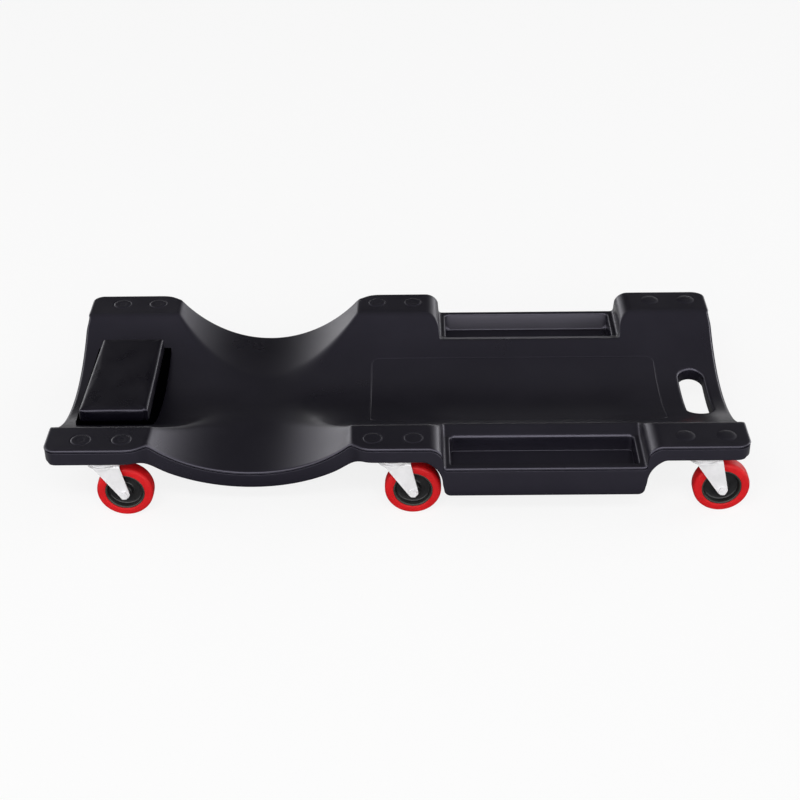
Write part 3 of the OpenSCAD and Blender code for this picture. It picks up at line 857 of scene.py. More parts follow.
    def _face(self, face: Heights, pits: list[Pit], edge: Rounding, sign: float,
              lines: Array) -> tuple[Array, list, list, list]:
        """Triangulates one face of the deck.

        Nested loops follow the outline, the slot and every small feature. Points fill the rest, and
        a constrained Delaunay triangulation joins them all in plan. The height of each point is the
        face's height there, less the depth of its feature or of the rounded edge.

        Args:
            face: the function that gives the face's height.
            pits: the face's small features.
            edge: the rounding of its outer edge.
            sign: 1 for the upper face and -1 for the lower one.
            lines: extra points across steep stretches.

        Returns:
            Points of shape (n, 3), triangles, and the point numbers of the outline and slot loops.
        """
        shape = self.shape
        outline, outward = shape.outline()
        insets, rim = edge.insets(), Rounding(shape.slot_round)
        slot = Pit((shape.slot_x, 0.0), shape.slot_width / 2, shape.slot_length / 2, shape.slot_width / 2,
                   tuple(rim.insets()), tuple(rim.drops()))
        loops, heights = [], []
        for inset, drop in zip(insets, edge.drops()):
            loops.append(outline - outward * inset)
            heights.append(face(*(outline - outward * max(inset, self.least_inset)).T) - sign * drop)
        for loop, drop in zip(slot.loops(), slot.depths):
            loops.append(loop)
            heights.append(face(*loop.T) - sign * drop)
        outline_id, slot_id = len(insets) - 1, len(loops) - 1
        for pit in pits:
            for loop in pit.loops():
                height = face(*loop.T)
                loops.append(loop)
                heights.append(height - pit.depth(*loop.T, height))
        taken = np.concatenate(loops)
        fill = self._fill(face, taken, lines, edge, slot)
        height = face(*fill.T)
        for pit in pits:
            height = height - pit.depth(*fill.T, height)
        points = np.concatenate([taken, fill])
        heights = np.concatenate([*heights, height])
        starts = np.concatenate([[0], np.cumsum([len(loop) for loop in loops])])
        rings = [np.arange(starts[index], starts[index + 1]) for index in range(len(loops))]
        edges = np.concatenate([np.stack([ring, np.roll(ring, -1)], 1) for ring in rings]).tolist()
        bounds = [rings[index].tolist() for index in (outline_id, slot_id)]
        made, _, triangles, sources, _, owners = delaunay_2d_cdt(
            [Vector(p) for p in points.tolist()], edges, bounds, 0, 1e-5)
        made = np.array([p[:] for p in made])
        source = np.array([group[0] if len(group) else -1 for group in sources])
        z = np.where(source >= 0, heights[source], face(*made.T))
        keep = np.array([0 in owner and 1 not in owner for owner in owners])
        triangles = np.array(triangles)[keep]
        if sign < 0:
            triangles = triangles[:, ::-1]
        number = np.full(len(points), -1)
        number[source[source >= 0]] = np.nonzero(source >= 0)[0]
        return (np.column_stack([made, z]), triangles.tolist(), number[rings[outline_id]].tolist(),
                number[rings[slot_id]].tolist())

    def _side_rows(self, high: Array, low: Array) -> list[Array]:
        """Rows of points down the deck's side: the bead's foot, the groove under it and the face.

        Args:
            high: the upper face's outline, shape (n, 3).
            low: the lower face's outline, shape (n, 3).

        Returns:
            Rows from the upper outline to the lower one.
        """
        outline, outward = self.shape.outline()
        insets = self.shape.lip + np.array(self.groove_in)
        rows = [np.column_stack([outline - outward * inset, high[:, 2] - drop])
                for inset, drop in zip(insets, self.groove_down)]
        rows[0] = high
        foot = rows[-1]
        rows += [foot * (1 - share) + low * share for share in (0.25, 0.5, 0.75)]
        return rows + [low]

    def _stretch_ends(self, points: Array) -> None:
        """Moves the two end faces outwards, less so under the pads' bead.

        Args:
            points: the deck's points, shape (n, 3), whose X is changed in place.
        """
        shape = self.shape
        half_l, half_trough = shape.length / 2, shape.trough_half
        near_end = smooth_step(*(half_l - fade for fade in shape.end_fade), np.abs(points[:, 0]))
        below = smooth_step(*(shape.pad_top - under for under in shape.end_cut_below), points[:, 2])
        below *= smooth_step(half_trough - shape.end_cut_beside, half_trough, np.abs(points[:, 1]))
        reach = np.where(points[:, 0] > 0, shape.foot_reach, shape.head_reach) - shape.end_cut * below
        points[:, 0] += near_end * np.sign(points[:, 0]) * reach

    def build(self) -> Object:
        """Builds the deck as one closed mesh.

        Returns:
            The deck.
        """
        shape = self.shape
        bead, foot = Rounding(shape.bead, shape.bead_in), Rounding(shape.under_round, shape.lip)
        top = self._face(shape.top, shape.pits_top, bead, 1.0, self._wall_lines())
        low = self._face(shape.under, shape.pits_under, foot, -1.0, self._box_lines())
        points, faces = [top[0], low[0]], top[1] + (np.array(low[1]) + len(top[0])).tolist()
        count = len(top[0]) + len(low[0])
        side = self._side_rows(top[0][top[2]], low[0][low[2]])
        high, deep = top[0][top[3]], low[0][low[3]]
        for rows, turned in ((side, -1), ([high, high * 0.5 + deep * 0.5, deep], 1)):
            faces += (grid_faces(len(rows), len(rows[0])) + count)[:, ::turned].tolist()
            points += rows
            count += len(rows) * len(rows[0])
        points = np.concatenate(points)
        self._stretch_ends(points)
        mesh = mesh_from("deck_shell", points, faces)
        weld(mesh, 2e-6)
        self._mark_pockets(mesh)
        return new_object("deck_shell", mesh)

    def _mark_pockets(self, mesh: Mesh) -> None:
        """Stores the share of each point that lies on a tray's leaning outer wall, which the deck's material
        paints lighter as a painted highlight.

        Args:
            mesh: the deck's mesh, in metres.
        """
        shape = self.shape
        x, y, z = points_of(mesh).T / MM
        wall = shape.tray_out - shape.tray_lean
        across = smooth_step(wall - 0.5, wall + 1.0, np.abs(y))
        across *= smooth_step(shape.tray_out + 0.6, shape.tray_out - 0.6, np.abs(y))
        along = smooth_step(shape.tray_half + 1.0, shape.tray_half - 9.0, np.abs(x - shape.tray_x))
        above_box = smooth_step(50.0, 52.0, z)
        deep = smooth_step(shape.rim_z - 0.8, shape.rim_z - 3.0, z) * above_box
        store_share(mesh, POCKET_PAINTED_HIGHLIGHT.attribute, across * along * deep)


# Finishes


@dataclass(frozen=True)
class Finish:
    """What one surface looks like, and how strongly each shared effect shows on it.

    Scales are patterns per metre, and heights are metres.
    """

    name: str
    colour: Triple
    roughness: float
    metallic: float = 0.0
    specular: float = 0.5
    tint: Triple = (1.0, 1.0, 1.0)
    grain_scale: float = 900.0
    grain_height: float = 0.00004
    grain_soft: float = 0.5
    patch_scale: float = 14.0
    patch_rough: float = 0.05
    patch_tint: float = 0.06
    wear_colour: Triple = (0.2, 0.2, 0.2)
    wear: float = 0.0
    dust: float = 0.0


DECK = Finish("deck_moulded_satin", (0.0030, 0.0026, 0.0050), 0.31, tint=(0.85, 0.81, 1.0), grain_scale=620.0,
              grain_height=0.00005, patch_scale=9.0, wear_colour=(0.04, 0.04, 0.045), wear=0.2, dust=0.006)
# Black plastic made near black and without reflection: partly its own colour, partly painted shade under the
# cushion.
BASE_PAINTED_SHADE = Finish("headrest_base_plastic_painted_shade", (0.0006, 0.0006, 0.0008), 0.65, specular=0.0)
VINYL = Finish("headrest_vinyl", (0.0014, 0.0011, 0.0026), 0.30, specular=0.40, tint=(0.85, 0.81, 1.0),
               grain_scale=1400.0, grain_height=0.000008, grain_soft=0.8, patch_scale=22.0)
ZINC = Finish("bright_zinc", (0.74, 0.735, 0.745), 0.50, metallic=0.2, specular=0.3, grain_scale=260.0,
              grain_height=0.000015, grain_soft=0.9, patch_scale=60.0, patch_rough=0.08, patch_tint=0.04,
              wear_colour=(0.95, 0.95, 0.96), wear=0.3)
STEEL = Finish("zinc_plated_steel", (0.60, 0.60, 0.61), 0.33, metallic=1.0, grain_scale=500.0,
               grain_height=0.00001, patch_scale=80.0, patch_rough=0.10, patch_tint=0.10,
               wear_colour=(0.8, 0.8, 0.8), wear=0.2)
BRASS = Finish("turned_brass", (0.72, 0.52, 0.23), 0.30, metallic=1.0, grain_scale=700.0,
               grain_height=0.00001, patch_scale=90.0, patch_rough=0.10, patch_tint=0.10)
CORE = Finish("wheel_core_nylon", (0.0040, 0.0040, 0.0046), 0.42, specular=0.4, grain_scale=1500.0,
              grain_height=0.00002, patch_scale=70.0, patch_rough=0.08, wear_colour=(0.03, 0.031, 0.028),
              wear=0.4)
WOOD = Finish("headrest_board", (0.46, 0.30, 0.16), 0.6, specular=0.3, grain_scale=500.0, patch_scale=30.0)
TYRE = Finish("red_polyurethane", (0.55, 0.005, 0.008), 0.45, specular=0.22, grain_scale=700.0,
              grain_height=0.00002, grain_soft=0.8, patch_scale=45.0, patch_rough=0.08, patch_tint=0.08,
              dust=0.01)
HIDDEN = {"plate": ZINC, "kingpin": STEEL, "balls": STEEL, "axle": ZINC, "spacer": STEEL, "insert": BRASS,
          "caster": ZINC, "headrest_cushion": VINYL, "headrest_screws": STEEL, "headrest_board": WOOD}
DUST_COLOUR = (0.45, 0.44, 0.42)


class Grain(Enum):
    """Relief of a surface."""

    PEBBLE = "pebble"
    WOOD = "wood"


@dataclass(frozen=True)
class Marked:
    """A stretch of a surface, marked by an attribute of its points, that looks different."""

    attribute: str
    colour: Triple
    rougher: float = 0.0


# Painted highlight: a lighter, rougher skin on the trays' leaning outer walls, standing in for the front
# light that they catch.
POCKET_PAINTED_HIGHLIGHT = Marked("pocket", (0.040, 0.038, 0.046), 0.08)
RIM = Marked("rim", (0.022, 0.023, 0.019), 0.08)


# Node helpers


def add_node(tree: Tree, kind: str, inputs: dict | None = None, **settings: object) -> bpy.types.Node:
    """Adds a shader node with its settings and inputs.

    Args:
        tree: the node tree.
        kind: the node's type name, without its first word.
        inputs: sockets or plain values, by the name or number of the input that they feed.
        settings: properties of the node.

    Returns:
        The node.
    """
    made = tree.nodes.new("ShaderNode" + kind)
    for key, value in settings.items():
        setattr(made, key, value)
    for key, value in (inputs or {}).items():
        if isinstance(value, Socket):
            tree.links.new(value, made.inputs[key])
        else:
            made.inputs[key].default_value = value
    return made


def calc(tree: Tree, operation: str, *sources: Socket | float, clamp: bool = False) -> Socket:
    """Adds a math node.

    Args:
        tree: the node tree.
        operation: what it does.
        sources: sockets or numbers that feed it.
        clamp: keeps the result between 0 and 1.

    Returns:
        Its result.
    """
    return add_node(tree, "Math", dict(enumerate(sources)), operation=operation, use_clamp=clamp).outputs[0]


def ranged(tree: Tree, source: Socket, low: float, high: float, to: tuple = (0.0, 1.0),
           smooth: bool = False) -> Socket:
    """Maps a range of values onto another one, and clamps what lies outside.

    Args:
        tree: the node tree.
        source: the value.
        low: start of its range.
        high: end of its range.
        to: the range that it is mapped onto.
        smooth: eases both ends.

    Returns:
        The mapped value.
    """
    return add_node(tree, "MapRange", {0: source, 1: low, 2: high, 3: to[0], 4: to[1]},
                    interpolation_type="SMOOTHSTEP" if smooth else "LINEAR").outputs[0]


def mixed(tree: Tree, share: Socket, first: Socket | float, second: Socket | float) -> Socket:
    """Mixes two values by a share."""
    return add_node(tree, "Mix", {0: share, 2: first, 3: second}, data_type="FLOAT").outputs[0]


def mixed_colour(tree: Tree, share: Socket, first: Socket | tuple, second: Triple) -> Socket:
    """Mixes a colour with a plain one by a share."""
    return add_node(tree, "Mix", {0: share, 6: first, 7: (*second, 1.0)}, data_type="RGBA").outputs[2]


def parts(tree: Tree, vector: Socket) -> bpy.types.bpy_prop_collection:
    """The three parts of a vector, as sockets."""
    return add_node(tree, "SeparateXYZ", {0: vector}).outputs


class Effects:
    """Node groups for the effects that several materials share."""

    def __init__(self) -> None:
        """Builds each group once."""
        self.relief = self._relief()
        self.patches = self._patches()
        self.wear = self._wear()
        self.dust = self._dust()

    @staticmethod
    def _group(name: str, inputs: dict[str, float]) -> tuple:
        """Starts a group with plain inputs, a place vector and one value as its output.

        Args:
            name: the group's name.
            inputs: the value inputs and their defaults.

        Returns:
            The group and the sockets of its inputs.
        """
        group = bpy.data.node_groups.new(name, "ShaderNodeTree")
        group.interface.new_socket(name="Place", in_out="INPUT", socket_type="NodeSocketVector")
        for label, value in inputs.items():
            made = group.interface.new_socket(name=label, in_out="INPUT", socket_type="NodeSocketFloat")
            made.default_value = value
        group.interface.new_socket(name="Value", in_out="OUTPUT", socket_type="NodeSocketFloat")
        return group, group.nodes.new("NodeGroupInput").outputs

    @staticmethod
    def _finish(group: Tree, result: Socket) -> Tree:
        """Feeds a group's output and gives the group back."""
        group.links.new(result, group.nodes.new("NodeGroupOutput").inputs["Value"])
        return group

    @staticmethod
    def _noise(group: Tree, place: Socket, scale: Socket | float, **values: float) -> Socket:
        """Adds a noise texture, whose further inputs are given by name."""
        named = {key.capitalize(): value for key, value in values.items()}
        return add_node(group, "TexNoise", {"Vector": place, "Scale": scale, **named}).outputs["Fac"]

    def _relief(self) -> Tree:
        """Moulded grain: rounded cells with soft waves among them.

        Returns:
            The group, which gives a height from 0 to 1.
        """
        group, start = self._group("moulded_grain", {"Scale": 900.0, "Softness": 0.5})
        fed = {"Vector": start["Place"], "Scale": start["Scale"], "Smoothness": 0.6}
        cells = add_node(group, "TexVoronoi", fed, feature="SMOOTH_F1").outputs["Distance"]
        half = calc(group, "MULTIPLY", start["Scale"], 0.45)
        waves = self._noise(group, start["Place"], half, detail=3.0, roughness=0.6)
        return self._finish(group, mixed(group, start["Softness"], cells, waves))

    def _patches(self) -> Tree:
        """Slow unevenness of a surface.

        Returns:
            The group, which gives a value from -1 to 1.
        """
        group, start = self._group("slow_patches", {"Scale": 12.0})
        noise = self._noise(group, start["Place"], start["Scale"], detail=4.0, roughness=0.55, distortion=0.3)
        return self._finish(group, ranged(group, noise, 0.3, 0.7, (-1.0, 1.0)))

    def _wear(self) -> Tree:
        """Edge wear: outward bends of the mesh, broken up by a fine noise.

        Returns:
            The group, which gives a mask.
        """
        group, start = self._group("edge_wear", {"Amount": 0.5})
        edges = ranged(group, add_node(group, "NewGeometry").outputs["Pointiness"], 0.51, 0.60, smooth=True)
        broken = ranged(group, self._noise(group, start["Place"], 300.0, detail=4.0), 0.35, 0.65)
        mask = calc(group, "MULTIPLY", edges, broken)
        return self._finish(group, calc(group, "MULTIPLY", mask, start["Amount"], clamp=True))

    def _dust(self) -> Tree:
        """Fine dust that settles on what faces upwards.

        Returns:
            The group, which gives a mask.
        """
        group, start = self._group("settled_dust", {"Amount": 0.05})
        upward = ranged(group, parts(group, add_node(group, "NewGeometry").outputs["Normal"])["Z"], 0.2, 1.0)
        noise = self._noise(group, start["Place"], 40.0, detail=6.0, roughness=0.7)
        mask = calc(group, "MULTIPLY", upward, noise)
        return self._finish(group, calc(group, "MULTIPLY", mask, start["Amount"], clamp=True))

    def dress(self, finish: Finish, grain: Grain = Grain.PEBBLE, marked: Marked | None = None) -> Material:
        """Makes the material of one finish from the shared effects.

        The colour is the finish's own, varied by the patches, lightened by dust and mixed with the
        wear colour along edges. Roughness varies with the patches, and the grain is a bump.

        Args:
            finish: the finish.
            grain: the kind of relief.
            marked: a stretch of the surface that has another colour and roughness.

        Returns:
            The material.
        """
        material = bpy.data.materials.new(finish.name)
        material.use_nodes = True
        tree = material.node_tree
        shader = tree.nodes["Principled BSDF"]
        shader.inputs["Metallic"].default_value = finish.metallic
        shader.inputs["Specular IOR Level"].default_value = finish.specular
        shader.inputs["Specular Tint"].default_value = (*finish.tint, 1.0)
        place = add_node(tree, "TexCoord").outputs["Object"]

        def effect(source: Tree, values: dict[str, float]) -> Socket:
            """Places a shared group in this material."""
            return add_node(tree, "Group", {"Place": place, **values}, node_tree=source).outputs["Value"]

        patch = effect(self.patches, {"Scale": finish.patch_scale})
        tint = calc(tree, "MULTIPLY_ADD", patch, finish.patch_tint, 1.0)
        colour = add_node(tree, "VectorMath", {0: finish.colour, "Scale": tint}, operation="SCALE").outputs[0]
        if grain is Grain.WOOD:
            fed = {"Vector": place, "Scale": 60.0, "Distortion": 6.0, "Detail": 3.0, "Detail Scale": 2.0}
            bands = add_node(tree, "TexWave", fed, bands_direction="X").outputs["Fac"]
            darker = tuple(part * 0.6 for part in finish.colour)
            colour = mixed_colour(tree, bands, (*finish.colour, 1.0), darker)
        rough = calc(tree, "MULTIPLY_ADD", patch, finish.patch_rough, finish.roughness)
        height = effect(self.relief, {"Scale": finish.grain_scale, "Softness": finish.grain_soft})
        if finish.wear:
            mask = effect(self.wear, {"Amount": finish.wear})
            colour = mixed_colour(tree, mask, colour, finish.wear_colour)
        if finish.dust:
            mask = effect(self.dust, {"Amount": finish.dust})
            colour = mixed_colour(tree, mask, colour, DUST_COLOUR)
        if marked:
            inside = add_node(tree, "Attribute", attribute_name=marked.attribute).outputs["Fac"]
            rough = calc(tree, "MULTIPLY_ADD", inside, marked.rougher, rough)
            colour = mixed_colour(tree, inside, colour, marked.colour)
        bump = add_node(tree, "Bump", {"Height": height, "Strength": 1.0, "Distance": finish.grain_height})
        for name, result in (("Base Color", colour), ("Roughness", rough), ("Normal", bump.outputs[0])):
            tree.links.new(result, shader.inputs[name])
        return material


# Casters and headrest


def lathe(name: str, profile: Array, turns: int, centre: Triple) -> Object:
    """Turns a closed profile about an axis along Y.

    A point at radius r and offset y of the profile goes to
    (x0 + r cos a, y0 + y, z0 + r sin a) for every angle a.

    Args:
        name: the piece's name.
        profile: closed profile, shape (n, 2), as radius and offset, clockwise seen with radius to the right.
        turns: number of steps round the axis.
        centre: the axis's middle.

    Returns:
        The piece.
    """
    angle = np.linspace(0, 2 * math.pi, turns, endpoint=False)[:, None]
    radius, offset = profile[:, 0][None, :], profile[:, 1][None, :]
    points = np.stack([centre[0] + radius * np.cos(angle), centre[1] + offset + 0 * angle,
                       centre[2] + radius * np.sin(angle)], -1).reshape(-1, 3)
    mesh = mesh_from(name, points, grid_faces(turns, len(profile), wrap_rows=True).tolist())
    weld(mesh, 1e-7)
    mesh.set_sharp_from_angle(angle=math.radians(38))
    return new_object(name, mesh)


def rounded_profile(corners: list[Triple], steps: int) -> Array:
    """Rounds the corners of a closed outline.

    At each corner the two tangent points lie r / tan(half the angle) from it, and a circle of
    radius r joins them.

    Args:
        corners: first coordinate, second coordinate and radius of every corner.
        steps: number of points in each rounding.

    Returns:
        Points of shape (n, 2).
    """
    straight = 1.55
    places = np.array([corner[:2] for corner in corners])
    made = []
    for index, (_, _, radius) in enumerate(corners):
        here = places[index]
        before = places[index - 1] - here
        after = places[(index + 1) % len(places)] - here
        before, after = before / np.linalg.norm(before), after / np.linalg.norm(after)
        half = math.acos(float(np.clip(before @ after, -1, 1))) / 2
        if radius <= 0 or half > straight:
            made.append(here[None, :])
            continue
        middle = before + after
        centre = here + middle / np.linalg.norm(middle) * radius / math.sin(half)
        first, last = here + before * radius / math.tan(half), here + after * radius / math.tan(half)
        a0 = math.atan2(*(first - centre)[::-1])
        a1 = math.atan2(*(last - centre)[::-1])
        turn = (a1 - a0 + math.pi) % (2 * math.pi) - math.pi
        angle = a0 + turn * np.linspace(0, 1, steps)
        made.append(centre + radius * np.stack([np.cos(angle), np.sin(angle)], 1))
    return np.concatenate(made)


def softened_copy(name: str, node: Object, width: float, body: str,
                  material: Material) -> None:
    """Merges a copy of a modelled node and rounds its sharp edges.

    Args:
        name: the new piece's name.
        node: the node that it stands for.
        width: width of the rounding, in millimetres.
        body: the body that it rides on.
        material: its material.
    """
    sharp = math.radians(30)
    mesh = node.data.copy()
    mesh.name = name
    weld(mesh, 2e-6, flat=0.6)
    piece = new_object(name, mesh)
    mesh.materials.clear()
    mesh.materials.append(material)
    shade_smooth(mesh)
    mesh.set_sharp_from_angle(angle=sharp)
    bevel = piece.modifiers.new("edges", "BEVEL")
    bevel.width = width * MM
    bevel.segments = 2
    bevel.limit_method = "ANGLE"
    bevel.angle_limit = sharp
    bevel.harden_normals = True
    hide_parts(node.name)
    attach(piece, body)


@dataclass
class Wheel:
    """One wheel: a black core with a lipped rim and a red tyre with a parting line."""

    radius: float = 38.0
    tyre_width: float = 22.0
    shoulder: float = 5.0
    core_radius: float = 26.4
    rim_inner: float = 24.0
    rim_width: float = 20.0
    web: float = 5.0
    hub_radius: float = 9.5
    hub_length: float = 28.0
    bore: float = 5.06
    turns: int = 128

    def tyre_profile(self) -> Array:
        """Half round shoulders, a faint crown and a small lip where the tyre meets the core.

        Returns:
            Points of shape (n, 2), as radius and offset.
        """
        half, r, c = self.tyre_width / 2, self.radius, self.core_radius + 0.15
        return rounded_profile([
            (c, -half + 0.6, 0.3), (c + 2.2, -half, 1.2), (r - 0.35, -half, self.shoulder), (r, -0.5, 0.0),
            (r, 0.5, 0.0), (r - 0.35, half, self.shoulder), (c + 2.2, half, 1.2), (c, half - 0.6, 0.3),
        ], 7)

    def core_profile(self) -> Array:
        """Rim with a rounded lip, a dished web and a stepped hub, on both sides.

        Returns:
            Points of shape (n, 2), as radius and offset.
        """
        rim, web, hub = self.rim_width / 2, self.web / 2, self.hub_length / 2
        side = [
            (self.bore, hub, 0.4), (self.hub_radius - 1.6, hub, 0.6), (self.hub_radius - 1.0, hub - 3.0, 0.6),
            (self.hub_radius, hub - 3.4, 0.5), (self.hub_radius + 0.8, web, 1.6),
            (self.rim_inner - 1.0, web, 1.8),
            (self.rim_inner, rim - 1.2, 0.6), (self.rim_inner + 0.9, rim, 0.7), (self.core_radius, rim, 0.5),
        ]
        return rounded_profile([(r, -y, e) for r, y, e in side] + side[::-1], 4)

    def _mark_rim(self, mesh: Mesh, centre: Triple) -> None:
        """Stores the share of each point that lies on the core's rim, outside the web.

        Args:
            mesh: the core's mesh, in metres.
            centre: the axle's middle, in millimetres.
        """
        x, _, z = points_of(mesh).T / MM - np.array(centre)[:, None]
        share = smooth_step(self.rim_inner - 0.6, self.rim_inner + 0.4, np.hypot(x, z))
        store_share(mesh, RIM.attribute, share)

    def build(self, name: str, centre: Triple, core: Material, tyre: Material) -> None:
        """Builds the wheel of one caster.

        Args:
            name: the caster's name.
            centre: the axle's middle, in millimetres.
            core: the core's material.
            tyre: the tyre's material.
        """
        for part, profile, material, slot in (("core", self.core_profile(), core, "core_plastic"),
                                              ("tyre", self.tyre_profile(), tyre, "tyre")):
            piece = lathe(f"wheel_{part}_{name}", profile, self.turns, centre)
            piece.data.materials.append(material)
            if part == "core":
                self._mark_rim(piece.data, centre)
            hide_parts(f"{part}_{name}")
            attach(piece, f"wheel_{name}")


@dataclass
class Headrest:
    """The padded headrest's cover: a box that a cloth simulation fills, with a pleat drawn in after it."""

    inset: float = 0.5
    edge: float = 1.0
    voxel: float = 2.2
    sunk: float = 0.8
    frames: int = 18
    pressure: float = 4.0
    travel: float = 0.45
    spread: float = 3.2
    near_by: float = 3.0
    pinned: float = 3.0
    pleat_in: float = 6.0
    pleat_depth: float = 2.2
    pleat_width: float = 2.6
    pleat_sag: float = 0.35
    fold_depth: float = 0.06
    fold_width: float = 4.0
    fold_from: float = 8.0
    fold_slant: tuple[float, float] = (0.93, 0.36)

    def build(self, node: Object, material: Material) -> Object:
        """Builds the cover in place of the modelled cushion.

        Args:
            node: the modelled cushion.
            material: the cover's material.

        Returns:
            The cover.
        """
        low, high = (np.array(corner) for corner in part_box(node.name))
        cover = new_object("headrest_cover", self._blank(low, high))
        self._apply(cover, "REMESH", mode="VOXEL", voxel_size=self.voxel * MM)
        self._fill(cover, low)
        self._apply(cover, "SUBSURF", levels=1, render_levels=1)
        self._draw_in(cover.data, low, high)
        shade_smooth(cover.data)
        cover.data.materials.clear()
        cover.data.materials.append(material)
        return cover

    def _blank(self, low: Array, high: Array) -> Mesh:
        """A box a little smaller than the modelled cushion, with eased upper edges.

        Args:
            low: the modelled cushion's lower corner, in metres.
            high: its upper corner, in metres.

        Returns:
            The box.
        """
        work = bmesh.new()
        bmesh.ops.create_cube(work, size=1.0)
        size = high - low - 2 * self.inset * MM * np.array([1, 1, 0.5]) + np.array([0, 0, self.sunk * MM])
        middle = (low + high) / 2 - np.array([0, 0, (self.inset + self.sunk) * MM * 0.5])
        bmesh.ops.scale(work, vec=Vector(size), verts=work.verts)
        bmesh.ops.translate(work, vec=Vector(middle), verts=work.verts)
        upper = [edge for edge in work.edges if max(point.co.z for point in edge.verts) > middle[2]]
        bmesh.ops.bevel(work, geom=upper, offset=self.edge * MM, segments=2, affect="EDGES", profile=0.5)
        mesh = bpy.data.meshes.new("headrest_cover")
        work.to_mesh(mesh)
        work.free()
        return mesh

    @staticmethod
    def _shaped(cover: Object) -> Mesh:
        """The cover's mesh as its modifiers leave it."""
        return bpy.data.meshes.new_from_object(cover.evaluated_get(bpy.context.evaluated_depsgraph_get()))

    def _apply(self, cover: Object, kind: str, **settings: str | float) -> None:
        """Adds a modifier and puts its result in place of the mesh.

        Args:
            cover: the cover.
            kind: the modifier's type.
            settings: its properties.
        """
        modifier = cover.modifiers.new("shape", kind)
        for key, value in settings.items():
            setattr(modifier, key, value)
        shaped = self._shaped(cover)
        cover.modifiers.clear()
        cover.data = shaped

    def _fill(self, cover: Object, low: Array) -> None:
        """Blows the cover up as cloth that is pinned along its foot, and caps how far each point moves.

        Args:
            cover: the cover.
            low: the modelled cushion's lower corner, in metres.
        """
        start = points_of(cover.data)
        pins = cover.vertex_groups.new(name="foot")
        pins.add(np.nonzero(start[:, 2] < low[2] + self.pinned * MM)[0].tolist(), 1.0, "REPLACE")
        cloth = cover.modifiers.new("fill", "CLOTH")
        cloth.settings.quality = 6
        cloth.settings.mass = 0.15
        cloth.settings.tension_stiffness = cloth.settings.compression_stiffness = 30.0
        cloth.settings.bending_stiffness = 2.0
        cloth.settings.use_pressure = True
        cloth.settings.uniform_pressure_force = self.pressure
        cloth.settings.vertex_group_mass = pins.name
        cloth.settings.effector_weights.gravity = 0.0
        cloth.collision_settings.use_collision = False
        cloth.collision_settings.use_self_collision = False
        cloth.point_cache.frame_start, cloth.point_cache.frame_end = 1, self.frames
        for frame in range(1, self.frames + 1):
            bpy.context.scene.frame_set(frame)
        shaped = self._shaped(cover)
        bpy.context.scene.frame_set(1)
        cover.modifiers.clear()
        cover.vertex_groups.clear()
        moved = points_of(shaped) - start
        moved *= self.travel * MM / np.hypot(np.linalg.norm(moved, axis=1, keepdims=True), self.travel * MM)
        shaped.vertices.foreach_set("co", (start + moved).ravel())
        cover.data = shaped

    def _draw_in(self, mesh: Mesh, low: Array, high: Array) -> None:
        """Draws in a pleat at the near foot-end corner and a long shallow fold across the top.

        The pleat sinks points by depth exp(-(d / width)^2), where d is the distance from the
        corner's upright line. The fold sinks the top by depth exp(-(s / width)^2), where s is the
        distance from a slanting line. Towards the near end the cover grows wider and longer, in
        proportion to the distance from its far end.

        Args:
            mesh: the cover's mesh, in metres.
            low: the modelled cushion's lower corner, in metres.
            high: its upper corner, in metres.
        """
        place = points_of(mesh) / MM
        low, high = low / MM, high / MM
        near_x, near_y = high[0] - self.pleat_in, low[1]
        middle = (low + high) / 2
        depth = np.exp(-(((place[:, 0] - near_x) / self.pleat_width) ** 2)) * self.pleat_depth
        depth *= smooth_step(near_y + 7.0, near_y + 1.0, place[:, 1])
        place[:, 1] += depth
        place[:, 2] -= self.pleat_sag * depth
        slant = (place[:, :2] - middle[:2]) @ np.array(self.fold_slant) - self.fold_from
        fold = np.exp(-((slant / self.fold_width) ** 2)) * self.fold_depth
        place[:, 2] -= fold * smooth_step(high[2] - 4.0, high[2] - 2.0, place[:, 2])
        share = np.clip((high[1] - place[:, 1]) / (high[1] - low[1]), 0.0, 1.0)
        place[:, 0] += share * self.spread * (place[:, 0] - middle[0]) / ((high[0] - low[0]) / 2)
        place[:, 1] -= share * self.near_by
        mesh.vertices.foreach_set("co", (place * MM).ravel())
        mesh.update()


# Stage, light and camera


@dataclass(frozen=True)
class Softbox:
    """A rectangular lamp that points at the deck's middle, with its sizes in metres."""

    name: str
    place: Triple
    size: tuple[float, float]
    power: float
    target: Triple = (0.0, 0.0, 0.08)

    def make(self) -> None:
        """Puts the lamp into the scene."""
        lamp = bpy.data.lights.new(self.name, "AREA")
        lamp.shape = "RECTANGLE"
        lamp.size, lamp.size_y = self.size
        lamp.energy = self.power
        box = bpy.data.objects.new(self.name, lamp)
        box.location = self.place
        box.rotation_euler = (Vector(self.target) - Vector(self.place)).to_track_quat("-Z", "Y").to_euler()
        bpy.context.scene.collection.objects.link(box)


